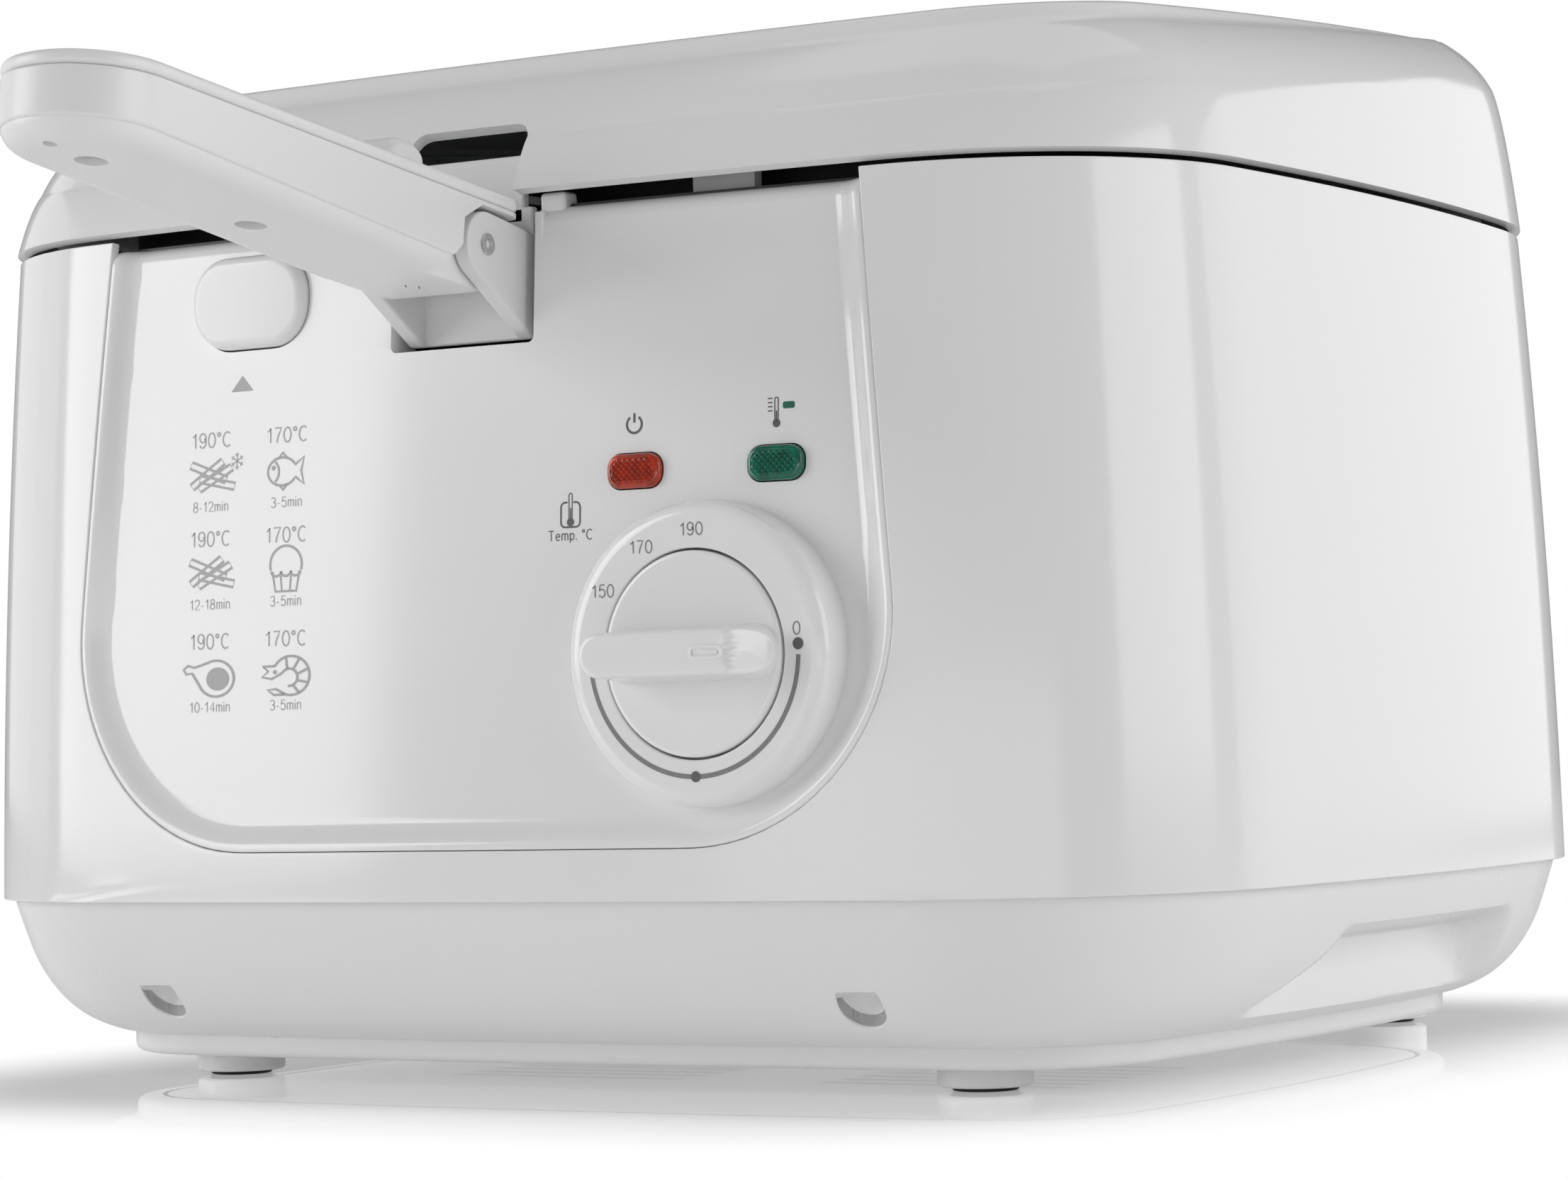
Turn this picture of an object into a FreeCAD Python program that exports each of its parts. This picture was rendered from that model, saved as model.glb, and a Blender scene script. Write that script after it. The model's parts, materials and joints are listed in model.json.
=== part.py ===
# Deep fryer with a hinged lid, folding basket handle and front control panel.
# Millimetres. X to the right seen from the front, the front faces -Y, Z up, origin on the table
# under the middle of the whole outline, handle included. The sizes are measured from the housing's middle.
import FreeCAD, Part
import math
import os
import re
import Sketcher

Vector = FreeCAD.Vector
Rotation = FreeCAD.Rotation

# Driving dimensions: alias, value, meaning
SIZES = [
    # Plan outline of the housing at its widest level
    ("half_width", 175, "half the housing's width"),
    ("front_reach", 155, "origin to the front of the outline"),
    ("back_reach", 155, "origin to the back of the outline"),
    ("widest_station", 12, "how far the widest place lies in front of the origin"),
    ("side_radius", 900, "plan radius of the sides"),
    ("front_radius", 1425, "plan radius of the front"),
    ("back_radius", 1036, "plan radius of the back"),
    ("front_corner", 68, "plan radius of the front corners"),
    ("back_corner", 87, "plan radius of the back corners"),
    # Levels
    ("waist_z", 44, "lower edge of the body shell"),
    ("shell_top", 201, "upper edge of the body shell"),
    ("lid_gap", 2, "lid lower edge above the body shell"),
    # Plastic walls
    ("wall", 2.5, "wall of the plastic housings"),
    ("seam", 0.5, "open seam between neighbouring covers"),
    ("clearance", 0.3, "gap between a moving piece and its neighbour"),
    ("running_fit", 0.06, "radial play of a turning shaft"),
    ("cut_margin", 1, "how far a cut runs past the face it opens"),
    ("far_margin", 20, "how far a cut runs past the housing"),
    # Feet
    ("pad_height", 1.5, "rubber pad thickness"),
    ("pad_radius", 7.5, "rubber pad radius"),
    ("foot_radius", 10.7, "foot radius"),
    ("foot_x", 104, "foot centre to the middle plane"),
    ("foot_front_set", 55, "front foot centre behind the front of the outline"),
    ("foot_back_set", 33, "back foot centre inside the back of the outline"),
    # Base casing and its bottom cover
    ("plinth_z", 5.5, "underside of the bottom cover"),
    ("plinth_inset", 32, "bottom cover edge inside the outline"),
    ("cover_plate", 2, "bottom cover thickness"),
    ("vent_length", 70, "length of a bottom vent slot"),
    ("vent_width", 4, "width of a bottom vent slot"),
    ("vent_pitch", 10, "spacing of the bottom vent slots"),
    ("vent_x", 55, "middle of a vent group from the middle plane"),
    ("base_floor_z", 10, "underside of the base casing"),
    ("base_foot_inset", 10.5, "base casing inside the outline at its floor, before rounding"),
    ("base_rim_inset", 3.3, "base casing inside the outline at its rim"),
    ("base_round", 20, "rounding of the base casing's lower edge"),
    ("floor_opening_half_x", 105, "half the width of the access opening in the base floor"),
    ("floor_opening_half_y", 85, "half the depth of the access opening in the base floor"),
    ("floor_opening_corner", 20, "corner radius of the access opening in the base floor"),
    ("ledge_rise", 6, "rim of the base casing above the body shell's lower edge"),
    ("ledge_inset", 26, "inner edge of the body shell's ledge"),
    ("grip_front", 56, "front end of a lifting scoop"),
    ("grip_back", 63, "back end of a lifting scoop"),
    ("grip_low", 14, "lower edge of a lifting scoop"),
    ("grip_high", 33, "upper edge of a lifting scoop"),
    ("grip_depth", 22, "scoop floor inside the housing's width"),
    ("grip_round", 9, "rounding of a scoop's ends"),
    ("screw_x_front", 96, "front housing screw to the middle plane"),
    ("screw_front_set", 19.5, "front housing screw behind the front of the outline"),
    ("screw_x_back", 76, "back housing screw to the middle plane"),
    ("screw_back_set", 21, "back housing screw inside the back of the outline"),
    ("screw_well_radius", 5.5, "screw well radius"),
    ("screw_well_depth", 17, "depth of a screw well"),
    ("screw_radius", 2, "housing screw shank radius"),
    ("screw_head_radius", 3.8, "housing screw head radius"),
    ("screw_head", 2.6, "housing screw head height"),
    ("gland_x", 60, "cord gland to the middle plane"),
    ("gland_z", 30, "cord gland height"),
    ("gland_radius", 7, "cord gland body radius"),
    ("gland_flange", 9.5, "cord gland flange radius"),
    ("gland_bore", 3.5, "cord gland bore radius"),
    ("gland_inner", 22, "gland's inner end inside the outline"),
    ("gland_outer", 2, "gland's outer end inside the outline"),
    ("collar_inner", 7, "gland collar's inner face inside the outline"),
    ("collar_outer", 4, "gland collar's outer face inside the outline"),
    # Body shell
    ("shell_lean", 7, "how far the shell leans in at its top"),
    ("flange_drop", 5.5, "shell flange below the shell's top"),
    ("flange_inset", 28, "inner edge of the shell flange"),
    # Front panel
    ("panel_top_half", 103, "half the panel's width at the top"),
    ("panel_low_half", 116, "half the panel's width at the bottom, before rounding"),
    ("panel_rise", 11.5, "bottom edge of the panel above the body shell's lower edge"),
    ("panel_corner", 50, "rounding of the panel's bottom corners"),
    ("panel_top_drop", 2, "panel top edge below the shell top"),
    ("panel_flush", 0.4, "panel border below the shell surface"),
    ("panel_recess", 3, "panel field below the shell surface"),
    ("panel_thick", 3, "panel thickness behind its field"),
    ("panel_border", 6, "width of the panel's raised border"),
    ("panel_set", 27, "back of the panel's openings behind the front of the outline"),
    ("panel_lap", 6, "how far the panel reaches behind the shell"),
    ("panel_lap_low", 2.5, "how far the panel reaches behind the shell at its bottom edge"),
    ("panel_lap_drop", 13, "top of the panel's lap below the shell's top"),
    ("notch_half", 19.7, "half the width of the handle notch"),
    ("notch_depth", 32.3, "bottom of the handle notch below the shell's top"),
    ("notch_wall", 2.2, "return wall round the notch"),
    ("notch_set", 18, "back of the notch's return walls behind the front of the outline"),
    ("post_width", 7, "width of the guide post beside the notch"),
    ("post_rise", 1.3, "top of the guide posts above the shell's top"),
    # Dial, knob and thermostat
    ("knob_x", 65.5, "knob axis to the right of the middle plane"),
    ("knob_z", 97.5, "knob axis height"),
    ("dial_radius", 34, "dial ring radius at the panel"),
    ("dial_face_radius", 31.5, "dial ring radius before its face is rounded"),
    ("dial_round", 4.5, "rounding of the dial ring's front edge"),
    ("dial_proud", 1, "dial ring face in front of the outline"),
    ("knob_radius", 22.4, "knob disc radius"),
    ("knob_gap", 0.5, "radial gap between the knob and the dial ring"),
    ("knob_disc", 5.4, "knob disc thickness"),
    ("knob_proud", 0.6, "knob disc in front of the dial ring"),
    ("grip_reach", 12, "knob grip in front of the disc"),
    ("grip_half", 4.9, "half the knob grip's height"),
    ("grip_pointer", 22, "pointer end of the grip from the axis"),
    ("grip_tail", 20.5, "tail end of the grip from the axis"),
    ("grip_slope", 9, "where the grip starts to slope to its tail"),
    ("grip_tail_height", 3, "height of the grip's tail"),
    ("grip_end_gap", 0.1, "flat left at the grip's rounded end, each side"),
    ("grip_mark_start", 1, "start of the mark on the grip from the axis"),
    ("grip_mark_length", 9, "length of the mark on the grip"),
    ("grip_mark_width", 2, "width of the mark on the grip"),
    ("grip_mark_depth", 0.7, "depth of the mark on the grip"),
    ("spindle_radius", 3, "thermostat spindle radius"),
    ("spindle_in_knob", 7, "how far the spindle enters the grip"),
    ("spindle_hole", 4.5, "spindle hole in the panel"),
    ("thermostat_width", 36, "thermostat width"),
    ("thermostat_height", 30, "thermostat height"),
    ("thermostat_depth", 26, "thermostat depth"),
    ("thermostat_set", 17, "thermostat front behind the front of the outline"),
    ("spindle_depth", 11, "depth of the thermostat's spindle bore"),
    ("spindle_end_gap", 1, "gap between the spindle's end and its bore"),
    ("dial_gap", 0.05, "dial ring above the panel field"),
    ("thermostat_boss", 13, "panel boss radius behind the knob"),
    # Pilot lamps
    ("lamp_z", 138.3, "pilot lamp height"),
    ("lamp_x_left", 46.7, "red lamp to the right of the middle plane"),
    ("lamp_x_right", 82, "green lamp to the right of the middle plane"),
    ("lamp_width", 15.5, "lens width"),
    ("lamp_height", 8.6, "lens height"),
    ("lamp_corner", 3.6, "lens corner radius"),
    ("lamp_proud", 1.4, "lens in front of the panel"),
    ("lamp_depth", 11, "lens depth"),
    ("lamp_gap", 0.2, "gap round a lens"),
    ("holder_depth", 16, "lamp holder depth"),
    ("holder_margin", 1.5, "lamp holder beyond the lens"),
    # Release button and latch
    ("button_x", 59, "button centre to the left of the middle plane"),
    ("button_drop", 17.8, "button centre below the shell's top"),
    ("button_width", 33, "button width"),
    ("button_height", 21.6, "button height"),
    ("button_corner", 8, "button corner radius"),
    ("button_set", 5.7, "button face behind the front of the outline"),
    ("button_flange_set", 15.2, "button flange behind the front of the outline"),
    ("button_flange", 2, "button flange thickness"),
    ("button_lap", 1.1, "button flange beyond the button"),
    ("hook_x", 62, "lid hook centre to the middle plane"),
    ("hook_width", 16, "lid hook width"),
    ("hook_set", 22, "lid hook front face behind the front of the outline"),
    ("hook_thick", 3, "lid hook stem thickness"),
    ("hook_drop", 18, "lower end of a lid hook below the shell's top"),
    ("barb_height", 3.5, "lid hook barb height"),
    ("barb_reach", 3, "lid hook barb length"),
    ("latch_overlap", 1.7, "how far the latch bar reaches over the barb"),
    ("latch_gap", 0.5, "gap between barb and latch bar"),
    ("latch_height", 3.5, "latch bar height"),
    ("latch_depth", 6, "latch bar depth"),
    ("latch_arm", 3, "latch arm width"),
    ("spring_seat_set", 43, "spring bracket behind the front of the outline"),
    ("spring_drop", 6.5, "spring axis below the button's centre"),
    ("spring_radius", 4, "spring coil radius"),
    ("spring_wire", 0.5, "spring wire radius"),
    ("spring_turns", 6, "spring turns"),
    ("seat_width", 46, "spring bracket width"),
    ("seat_drop", 33, "lower edge of the spring bracket below the shell's top"),
    # Oil bowl, its frame and the heating parts
    ("bowl_y", 12, "bowl centre behind the origin"),
    ("bowl_half_x", 120, "half the bowl's width"),
    ("bowl_half_y", 92, "half the bowl's depth"),
    ("bowl_corner", 40, "bowl corner radius"),
    ("bowl_low_z", 78, "underside of the bowl"),
    ("bowl_wall", 1.5, "bowl wall"),
    ("bowl_round", 14, "rounding of the bowl's bottom edge"),
    ("rim_inset", 34, "bowl rim edge inside the outline"),
    ("frame_thick", 4, "top frame thickness"),
    ("frame_inset", 10.2, "top frame edge inside the outline"),
    ("frame_gap", 0.6, "gap between the top frame and the bowl"),
    ("hook_room_side", 1, "top frame slot beside a lid hook"),
    ("hook_room_front", 4, "top frame slot in front of a lid hook"),
    ("hook_room_back", 3, "top frame slot behind a lid hook"),
    ("element_radius", 62, "heating element ring radius"),
    ("element_tube", 4, "heating element tube radius"),
    ("terminal_spread", 12, "heating element terminal to the middle plane"),
    ("terminal_radius", 3, "heating element terminal radius"),
    ("terminal_drop", 18, "lower end of the heating element terminals below the bowl"),
    ("strap_length", 140, "element strap length"),
    ("strap_width", 14, "element strap width"),
    ("strap_thick", 2, "element strap thickness"),
    ("stud_radius", 3, "element strap stud radius"),
    ("cutout_y", 35, "thermal cut-out behind the bowl centre"),
    ("cutout_radius", 9, "thermal cut-out radius"),
    ("cutout_height", 8, "thermal cut-out height"),
    ("sensor_x", 80, "thermostat sensor to the right of the middle plane"),
    ("sensor_radius", 3, "sensor bulb radius"),
    ("sensor_length", 60, "sensor bulb length"),
    ("sensor_front", 40, "front end of the sensor bulb in front of the origin"),
    ("capillary_radius", 1, "capillary tube radius"),
    ("capillary_bend", 5, "capillary bend radius"),
    ("capillary_rise", 8.5, "capillary above the thermostat's axis"),
    ("shield_drop", 22, "underside of the heat shield below the bowl"),
    ("shield_gap", 5, "heat shield outside the bowl"),
    ("shield_sheet", 1.5, "heat shield sheet thickness"),
    ("shield_rise", 22, "upper edge of the heat shield above the bowl's underside"),
    ("leg_x", 115, "heat shield leg to the middle plane"),
    ("leg_y", 60, "heat shield leg to the bowl centre"),
    ("leg_width", 10, "heat shield leg width"),
    ("leg_depth", 16, "heat shield leg depth"),
    ("block_x", 52, "terminal block centre to the left of the middle plane"),
    ("block_y", 103, "terminal block centre behind the origin"),
    ("block_length", 44, "terminal block length"),
    ("block_width", 20, "terminal block width"),
    ("block_height", 16, "terminal block height"),
    # Frying basket and its bracket
    ("basket_half_x", 107, "half the basket's width"),
    ("basket_half_y", 80, "half the basket's depth"),
    ("basket_corner", 32, "basket corner radius"),
    ("oil_depth", 17, "underside of the basket above that of the bowl"),
    ("basket_drop", 5, "top of the basket's rim below the shell's top"),
    ("basket_wall", 1.5, "basket wall"),
    ("basket_rim", 3, "basket rim width and height"),
    ("basket_slot", 6, "basket slot width"),
    ("basket_pitch", 14, "basket slot spacing"),
    ("basket_band", 10, "closed band above and below the basket slots"),
    ("plate_half", 17, "half the bracket plate's width"),
    ("plate_set", 12.5, "bracket plate behind the front of the outline"),
    ("plate_thick", 2.5, "bracket plate thickness"),
    ("plate_drop", 31, "lower edge of the bracket plate below the shell's top"),
    ("plate_rise", 13, "upper edge of the bracket plate above the shell's top"),
    ("plate_neck_drop", 1.2, "where the bracket plate narrows, below the shell's top"),
    ("plate_neck_half", 14.8, "half the bracket plate's width above that"),
    ("ear_inner", 13, "inner face of a bracket ear"),
    ("ear_boss", 7.4, "bracket ear boss radius"),
    ("arm_half", 12, "half the bracket arm's width"),
    ("arm_lift", 0.3, "bracket arm above the bowl rim"),
    ("arm_thick", 2, "bracket arm thickness"),
    ("heel_lap", 4, "bracket heel on the basket rim"),
    ("heel_front", 3, "bracket heel in front of the basket rim"),
    ("ear_lead", 4, "ear's upper corner in front of the pin"),
    ("ear_rise", 6, "ear's upper corner above the pin"),
    ("ear_root_rise", 4, "ear's root above the pin"),
    ("ear_chin_lead", 5.9, "ear's lower front corner in front of the pin"),
    ("ear_chin_drop", 4, "ear's lower front corner below the pin"),
    ("ear_foot", 1, "ear's foot in front of the bracket plate"),
    # Folding handle, measured from its pin
    ("pin_proud", 5.4, "handle pin in front of the outline"),
    ("pin_drop", 11.4, "handle pin below the shell's top"),
    ("pin_radius", 2.5, "handle pin radius"),
    ("pin_reach", 17.6, "handle pin end to the middle plane"),
    ("handle_tilt", 7.4, "handle slope in degrees"),
    ("handle_half", 18.5, "half the handle's width"),
    ("handle_length", 133, "pin to the handle's tip"),
    ("handle_heel", 11, "handle behind the pin"),
    ("handle_split", 9, "cover joint above the pin"),
    ("handle_cover_thick", 3.2, "handle cover thickness"),
    ("handle_belly", 9.5, "underside below the pin at the heel"),
    ("handle_tip_belly", 5.5, "underside below the pin line at the tip"),
    ("handle_round", 5, "rounding of the handle's lower edges"),
    ("belly_band", 1.2, "height above the tip's underside that counts as the handle's lower edge"),
    ("heel_bevel", 6.3, "height of the bevel at the handle's heel"),
    ("belly_reach", 15.5, "flat of the underside in front of the pin"),
    ("pocket_rise", 7.9, "top of an ear pocket above the pin"),
    ("pocket_lead", 4.4, "front end of an ear pocket's top"),
    ("pocket_front", 10.9, "front wall of an ear pocket"),
    ("pocket_shoulder", 3.7, "top of that wall above the pin"),
    ("pocket_knee", 2.2, "bottom of that wall below the pin"),
    ("pocket_mouth", 20.4, "front end of an ear pocket at the underside"),
    ("pocket_drop", 12.5, "an ear pocket's cut below the pin"),
    ("pocket_back", 16, "an ear pocket's cut behind the pin"),
    ("cover_round", 1.4, "rounding of the handle cover's edge"),
    ("lock_near", 9, "near end of the lock slide from the pin"),
    ("lock_length", 16, "lock slide length"),
    ("lock_half", 7, "half the lock slide's width"),
    ("lock_height", 8.5, "lock slide above the cover"),
    ("lock_stem", 3, "half the lock stem's width"),
    ("lock_travel", 4, "lock slide travel"),
    ("lock_room", 3, "depth of the lock stem's room below the cover joint"),
    ("lock_ramp", 5, "sloping near end of the lock slide"),
    ("lock_crest", 3, "sloping far end of the lock slide"),
    ("lock_end_gap", 1, "gap left at the end of the lock slide's travel"),
    ("handle_screw_cover", 1, "material under a handle screw's seat at the tip"),
    ("handle_screw_near", 62, "first handle screw from the pin"),
    ("handle_screw_far", 114, "second handle screw from the pin"),
    ("small_screw_radius", 1.5, "small screw shank radius"),
    ("small_head_radius", 3.2, "small screw head radius"),
    ("small_head", 2, "small screw head height"),
    # Lid
    ("lid_inset", 6.3, "lid lower edge inside the outline"),
    ("crease_rise", 42.4, "crease above the shell's top at the origin"),
    ("crease_slope", 0.0989, "rise of the crease towards the back"),
    ("crease_inset", 24, "crease inside the outline"),
    ("shoulder_inset", 12, "start of the shoulder inside the outline"),
    ("shoulder_drop", 13.5, "start of the shoulder below the crease"),
    ("turn_inset", 17, "middle of the shoulder inside the outline"),
    ("turn_drop", 6, "middle of the shoulder below the crease"),
    ("top_rise", 45.3, "top panel above the shell's top at the origin"),
    ("top_slope", 0.0756, "rise of the top panel towards the back"),
    ("top_inset", 30, "top panel edge inside the outline"),
    ("top_thick", 4.8, "top panel thickness"),
    ("cavity_drop", 23.4, "side of the lid's hollow below the crease"),
    ("cavity_inset", 14, "side of the lid's hollow inside the outline"),
    ("lid_wall", 3, "lid wall at its lower edge"),
    ("lid_notch_half", 16.3, "half the width of the lid's notch"),
    ("lid_notch_rise", 15, "top of the lid's notch above the shell's top"),
    ("lid_notch_corner", 4, "rounding of the lid's notch"),
    ("notch_room", 3, "notches of the lid and liner behind the bracket plate"),
    ("hinge_proud", 1.5, "hinge axis behind the back of the outline"),
    ("hinge_rise", 6, "hinge axis above the shell's top"),
    ("knuckle_radius", 6.8, "hinge knuckle radius"),
    ("knuckle_half", 39.5, "half the lid knuckle's length"),
    ("lug_gap", 0.8, "gap between lid knuckle and shell lug"),
    ("lug_width", 12, "shell lug width"),
    ("lug_drop", 29, "lower end of a shell lug below the shell's top"),
    ("lug_face", 12, "upright back face of a shell lug below the frame's top"),
    ("hinge_pin_radius", 2.5, "hinge pin radius"),
    ("liner_rise", 4.5, "underside of the lid liner above the shell's top"),
    ("liner_thick", 1.5, "lid liner thickness"),
    ("liner_inset", 16, "lid liner edge inside the outline"),
    ("liner_screw_reach", 10, "liner screw above the liner"),
    ("arm_room", 2, "seal gap beside the bracket arm"),
    ("pin_overhang", 1, "hinge pin beyond a shell lug"),
    ("seal_outer", 36, "lid seal's outer edge inside the outline"),
    ("seal_width", 6, "lid seal width"),
    ("seal_gap", 0.4, "lid seal above the bowl rim"),
    ("boss_x", 95, "liner screw to the middle plane"),
    ("boss_front_set", 80, "front liner screw behind the front of the outline"),
    ("boss_back_set", 67, "back liner screw inside the back of the outline"),
    ("boss_radius", 5, "liner screw boss radius"),
    ("window_y", 48, "window centre in front of the origin"),
    ("window_half_x", 72, "half the window pane's width"),
    ("window_half_y", 40, "half the window pane's depth"),
    ("window_corner", 14, "window pane corner radius"),
    ("window_lip", 6, "ledge under the window pane"),
    ("window_depth", 3.5, "depth of the window's seat"),
    ("window_seal", 1, "window seal thickness"),
    ("filter_y", 62, "filter centre behind the origin"),
    ("filter_half_x", 68, "half the filter cover's width"),
    ("filter_half_y", 30, "half the filter cover's depth"),
    ("filter_corner", 10, "filter cover corner radius"),
    ("filter_lip", 6, "ledge under the filter cover"),
    ("filter_depth", 3.2, "depth of the filter cover's seat"),
    ("filter_slot", 4, "filter cover slot width"),
    ("filter_pitch", 10, "filter cover slot spacing"),
    ("filter_pad_thick", 12, "filter pad thickness"),
    ("filter_wall", 2, "wall of the filter's well"),
]
ALIASES = {alias for alias, value, meaning in SIZES}

# Places measured from another place: reference, direction and distance
PLACES = {
    "screw_y_front": ("front_reach", "-", "screw_front_set"),
    "screw_y_back": ("back_reach", "-", "screw_back_set"),
    "foot_front": ("front_reach", "-", "foot_front_set"),
    "foot_back": ("back_reach", "-", "foot_back_set"),
    "panel_depth": ("front_reach", "-", "panel_set"),
    "notch_back": ("front_reach", "-", "notch_set"),
    "dial_face": ("front_reach", "+", "dial_proud"),
    "thermostat_front": ("front_reach", "-", "thermostat_set"),
    "button_face": ("front_reach", "-", "button_set"),
    "button_flange_y": ("front_reach", "-", "button_flange_set"),
    "hook_y": ("front_reach", "-", "hook_set"),
    "spring_seat_y": ("front_reach", "-", "spring_seat_set"),
    "plate_y": ("front_reach", "-", "plate_set"),
    "pin_y": ("front_reach", "+", "pin_proud"),
    "boss_front": ("front_reach", "-", "boss_front_set"),
    "boss_back": ("back_reach", "-", "boss_back_set"),
    "hinge_y": ("back_reach", "+", "hinge_proud"),
    "screw_seat_z": ("base_floor_z", "+", "screw_well_depth"),
    "lid_z": ("shell_top", "+", "lid_gap"),
    "notch_z": ("shell_top", "-", "notch_depth"),
    "post_top": ("shell_top", "+", "post_rise"),
    "panel_lap_top": ("shell_top", "-", "panel_lap_drop"),
    "button_z": ("shell_top", "-", "button_drop"),
    "hook_low_z": ("shell_top", "-", "hook_drop"),
    "seat_low_z": ("shell_top", "-", "seat_drop"),
    "basket_top_z": ("shell_top", "-", "basket_drop"),
    "basket_low_z": ("bowl_low_z", "+", "oil_depth"),
    "terminal_z": ("bowl_low_z", "-", "terminal_drop"),
    "shield_z": ("bowl_low_z", "-", "shield_drop"),
    "shield_top": ("bowl_low_z", "+", "shield_rise"),
    "plate_low_z": ("shell_top", "-", "plate_drop"),
    "plate_top_z": ("shell_top", "+", "plate_rise"),
    "plate_neck_z": ("shell_top", "-", "plate_neck_drop"),
    "pin_z": ("shell_top", "-", "pin_drop"),
    "crease_z": ("shell_top", "+", "crease_rise"),
    "top_z": ("shell_top", "+", "top_rise"),
    "lid_notch_top": ("shell_top", "+", "lid_notch_rise"),
    "hinge_z": ("shell_top", "+", "hinge_rise"),
    "lug_low_z": ("shell_top", "-", "lug_drop"),
    "liner_z": ("shell_top", "+", "liner_rise"),
    "ledge_z": ("waist_z", "+", "ledge_rise"),
    "panel_low_z": ("waist_z", "+", "panel_rise"),
}

doc = FreeCAD.newDocument("DeepFryer")
sheet = doc.addObject("Spreadsheet::Sheet", "dims")
for row, (alias, value, meaning) in enumerate(SIZES, start=1):
    sheet.set(f"A{row}", meaning)
    sheet.set(f"B{row}", str(value))
    sheet.setAlias(f"B{row}", alias)
doc.recompute()

nodes = {}
depth_of = {}

# Levels that several pieces share
FLANGE_TOP = "(shell_top - flange_drop)"
FRAME_TOP = f"({FLANGE_TOP} + frame_thick)"
RIM_TOP = f"({FRAME_TOP} + bowl_wall)"
FAR_FRONT = "-front_reach - far_margin"
BEHIND_PLATE = "-plate_y + plate_thick + notch_room"
ABOVE_SHELL = "shell_top + far_margin"
GLAND_AXIS = ("-gland_x", "gland_z")
GLAND_SPAN = ("back_reach - gland_inner - far_margin", "back_reach + far_margin")
TIP_REACH = ("(pin_y + (handle_length - handle_round)*cos(handle_tilt)"
             " + (handle_tip_belly - handle_round)*sin(handle_tilt) + handle_round)")
ORIGIN_SHIFT = f"({TIP_REACH} - hinge_y - knuckle_radius)/2"


def cell(word):
    """Cells that a word of a size formula stands for."""
    if word in PLACES:
        reference, sign, distance = PLACES[word]
        return f"({cell(reference)} {sign} {cell(distance)})"
    return "dims." + word if word in ALIASES else word


def formula(text):
    """Write a size formula with each size and place as cells of the sheet."""
    return re.sub(r"[a-z_]\w*", lambda word: cell(word[0]), text)


def size(name):
    """Value of a size or a place."""
    if name in PLACES:
        reference, sign, distance = PLACES[name]
        return size(reference) + size(distance) * (1 if sign == "+" else -1)
    return float(sheet.get(name))


def bind(thing, prop, text):
    """Tie a property to a size formula."""
    thing.setExpression(prop, formula(text))


def move(thing, x="0", y="0", z="0"):
    """Tie a placement's base to size formulas."""
    depth_of[thing.Name] = y
    for letter, text in zip("xyz", (x, y, z)):
        bind(thing, "Placement.Base." + letter, text)


def turn(thing, axis, text):
    """Tie a placement's turn about an axis to a size formula in degrees."""
    thing.Placement = FreeCAD.Placement(thing.Placement.Base, Rotation(axis, 1))
    bind(thing, "Placement.Rotation.Angle", text)


def box(name, x, y, z):
    """Block between two size formulas on each axis."""
    block = doc.addObject("Part::Box", name)
    for prop, (low, high) in zip(("Length", "Width", "Height"), (x, y, z)):
        bind(block, prop, f"({high}) - ({low})")
    move(block, x[0], y[0], z[0])
    return block


ALONG = {"X": Rotation(Vector(0, 1, 0), 90), "Y": Rotation(Vector(1, 0, 0), -90), "Z": Rotation()}


def rod(name, axis, radius, span, at):
    """Round bar along an axis; span is on that axis and at holds the other two coordinates."""
    bar = doc.addObject("Part::Cylinder", name)
    bind(bar, "Radius", radius)
    bind(bar, "Height", f"({span[1]}) - ({span[0]})")
    bar.Placement = FreeCAD.Placement(Vector(), ALONG[axis])
    base = list(at)
    base.insert("XYZ".index(axis), span[0])
    move(bar, *base)
    return bar


def fuse(name, *pieces):
    """Union of pieces, or a group where they don't touch."""
    joined = doc.addObject("Part::MultiFuse", name)
    joined.Shapes = list(pieces)
    joined.Refine = True
    return joined


def cut(name, base, *tools):
    """Base without the tools."""
    result = doc.addObject("Part::Cut", name)
    result.Base = base
    result.Tool = tools[0] if len(tools) == 1 else fuse(name + "_tools", *tools)
    return result


def common(name, first, second):
    """Space that two pieces share."""
    result = doc.addObject("Part::Common", name)
    result.Base = first
    result.Tool = second
    return result


def is_along(edge, axis):
    """True for a straight edge along an axis."""
    if not isinstance(edge.Curve, Part.Line):
        return False
    return abs(abs(edge.Curve.Direction.dot(axis)) - 1) < 1e-6


def rounded(name, base, radius, choose):
    """Base with the chosen edges rounded by one size."""
    doc.recompute()
    edges = base.Shape.Edges
    chosen = [number for number, edge in enumerate(edges, start=1) if choose(edge)]
    result = doc.addObject("Part::Fillet", name)
    result.Base = base
    result.Edges = [(number, radius, radius) for number in chosen]
    return result


def slab(name, half_x, half_y, corner, z, y="0", x="0"):
    """Flat block with rounded upright edges, centred on x and y."""
    block = box(name + "_block", (f"{x} - ({half_x})", f"{x} + {half_x}"),
                (f"{y} - ({half_y})", f"{y} + {half_y}"), z)
    doc.recompute()
    return rounded(name, block, corner, lambda edge: is_along(edge, Vector(0, 0, 1)))


def lean_at(z):
    """Formula for how far the body shell leans in at a height."""
    return f"shell_lean*(({z}) - waist_z)/(shell_top - waist_z)"


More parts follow.
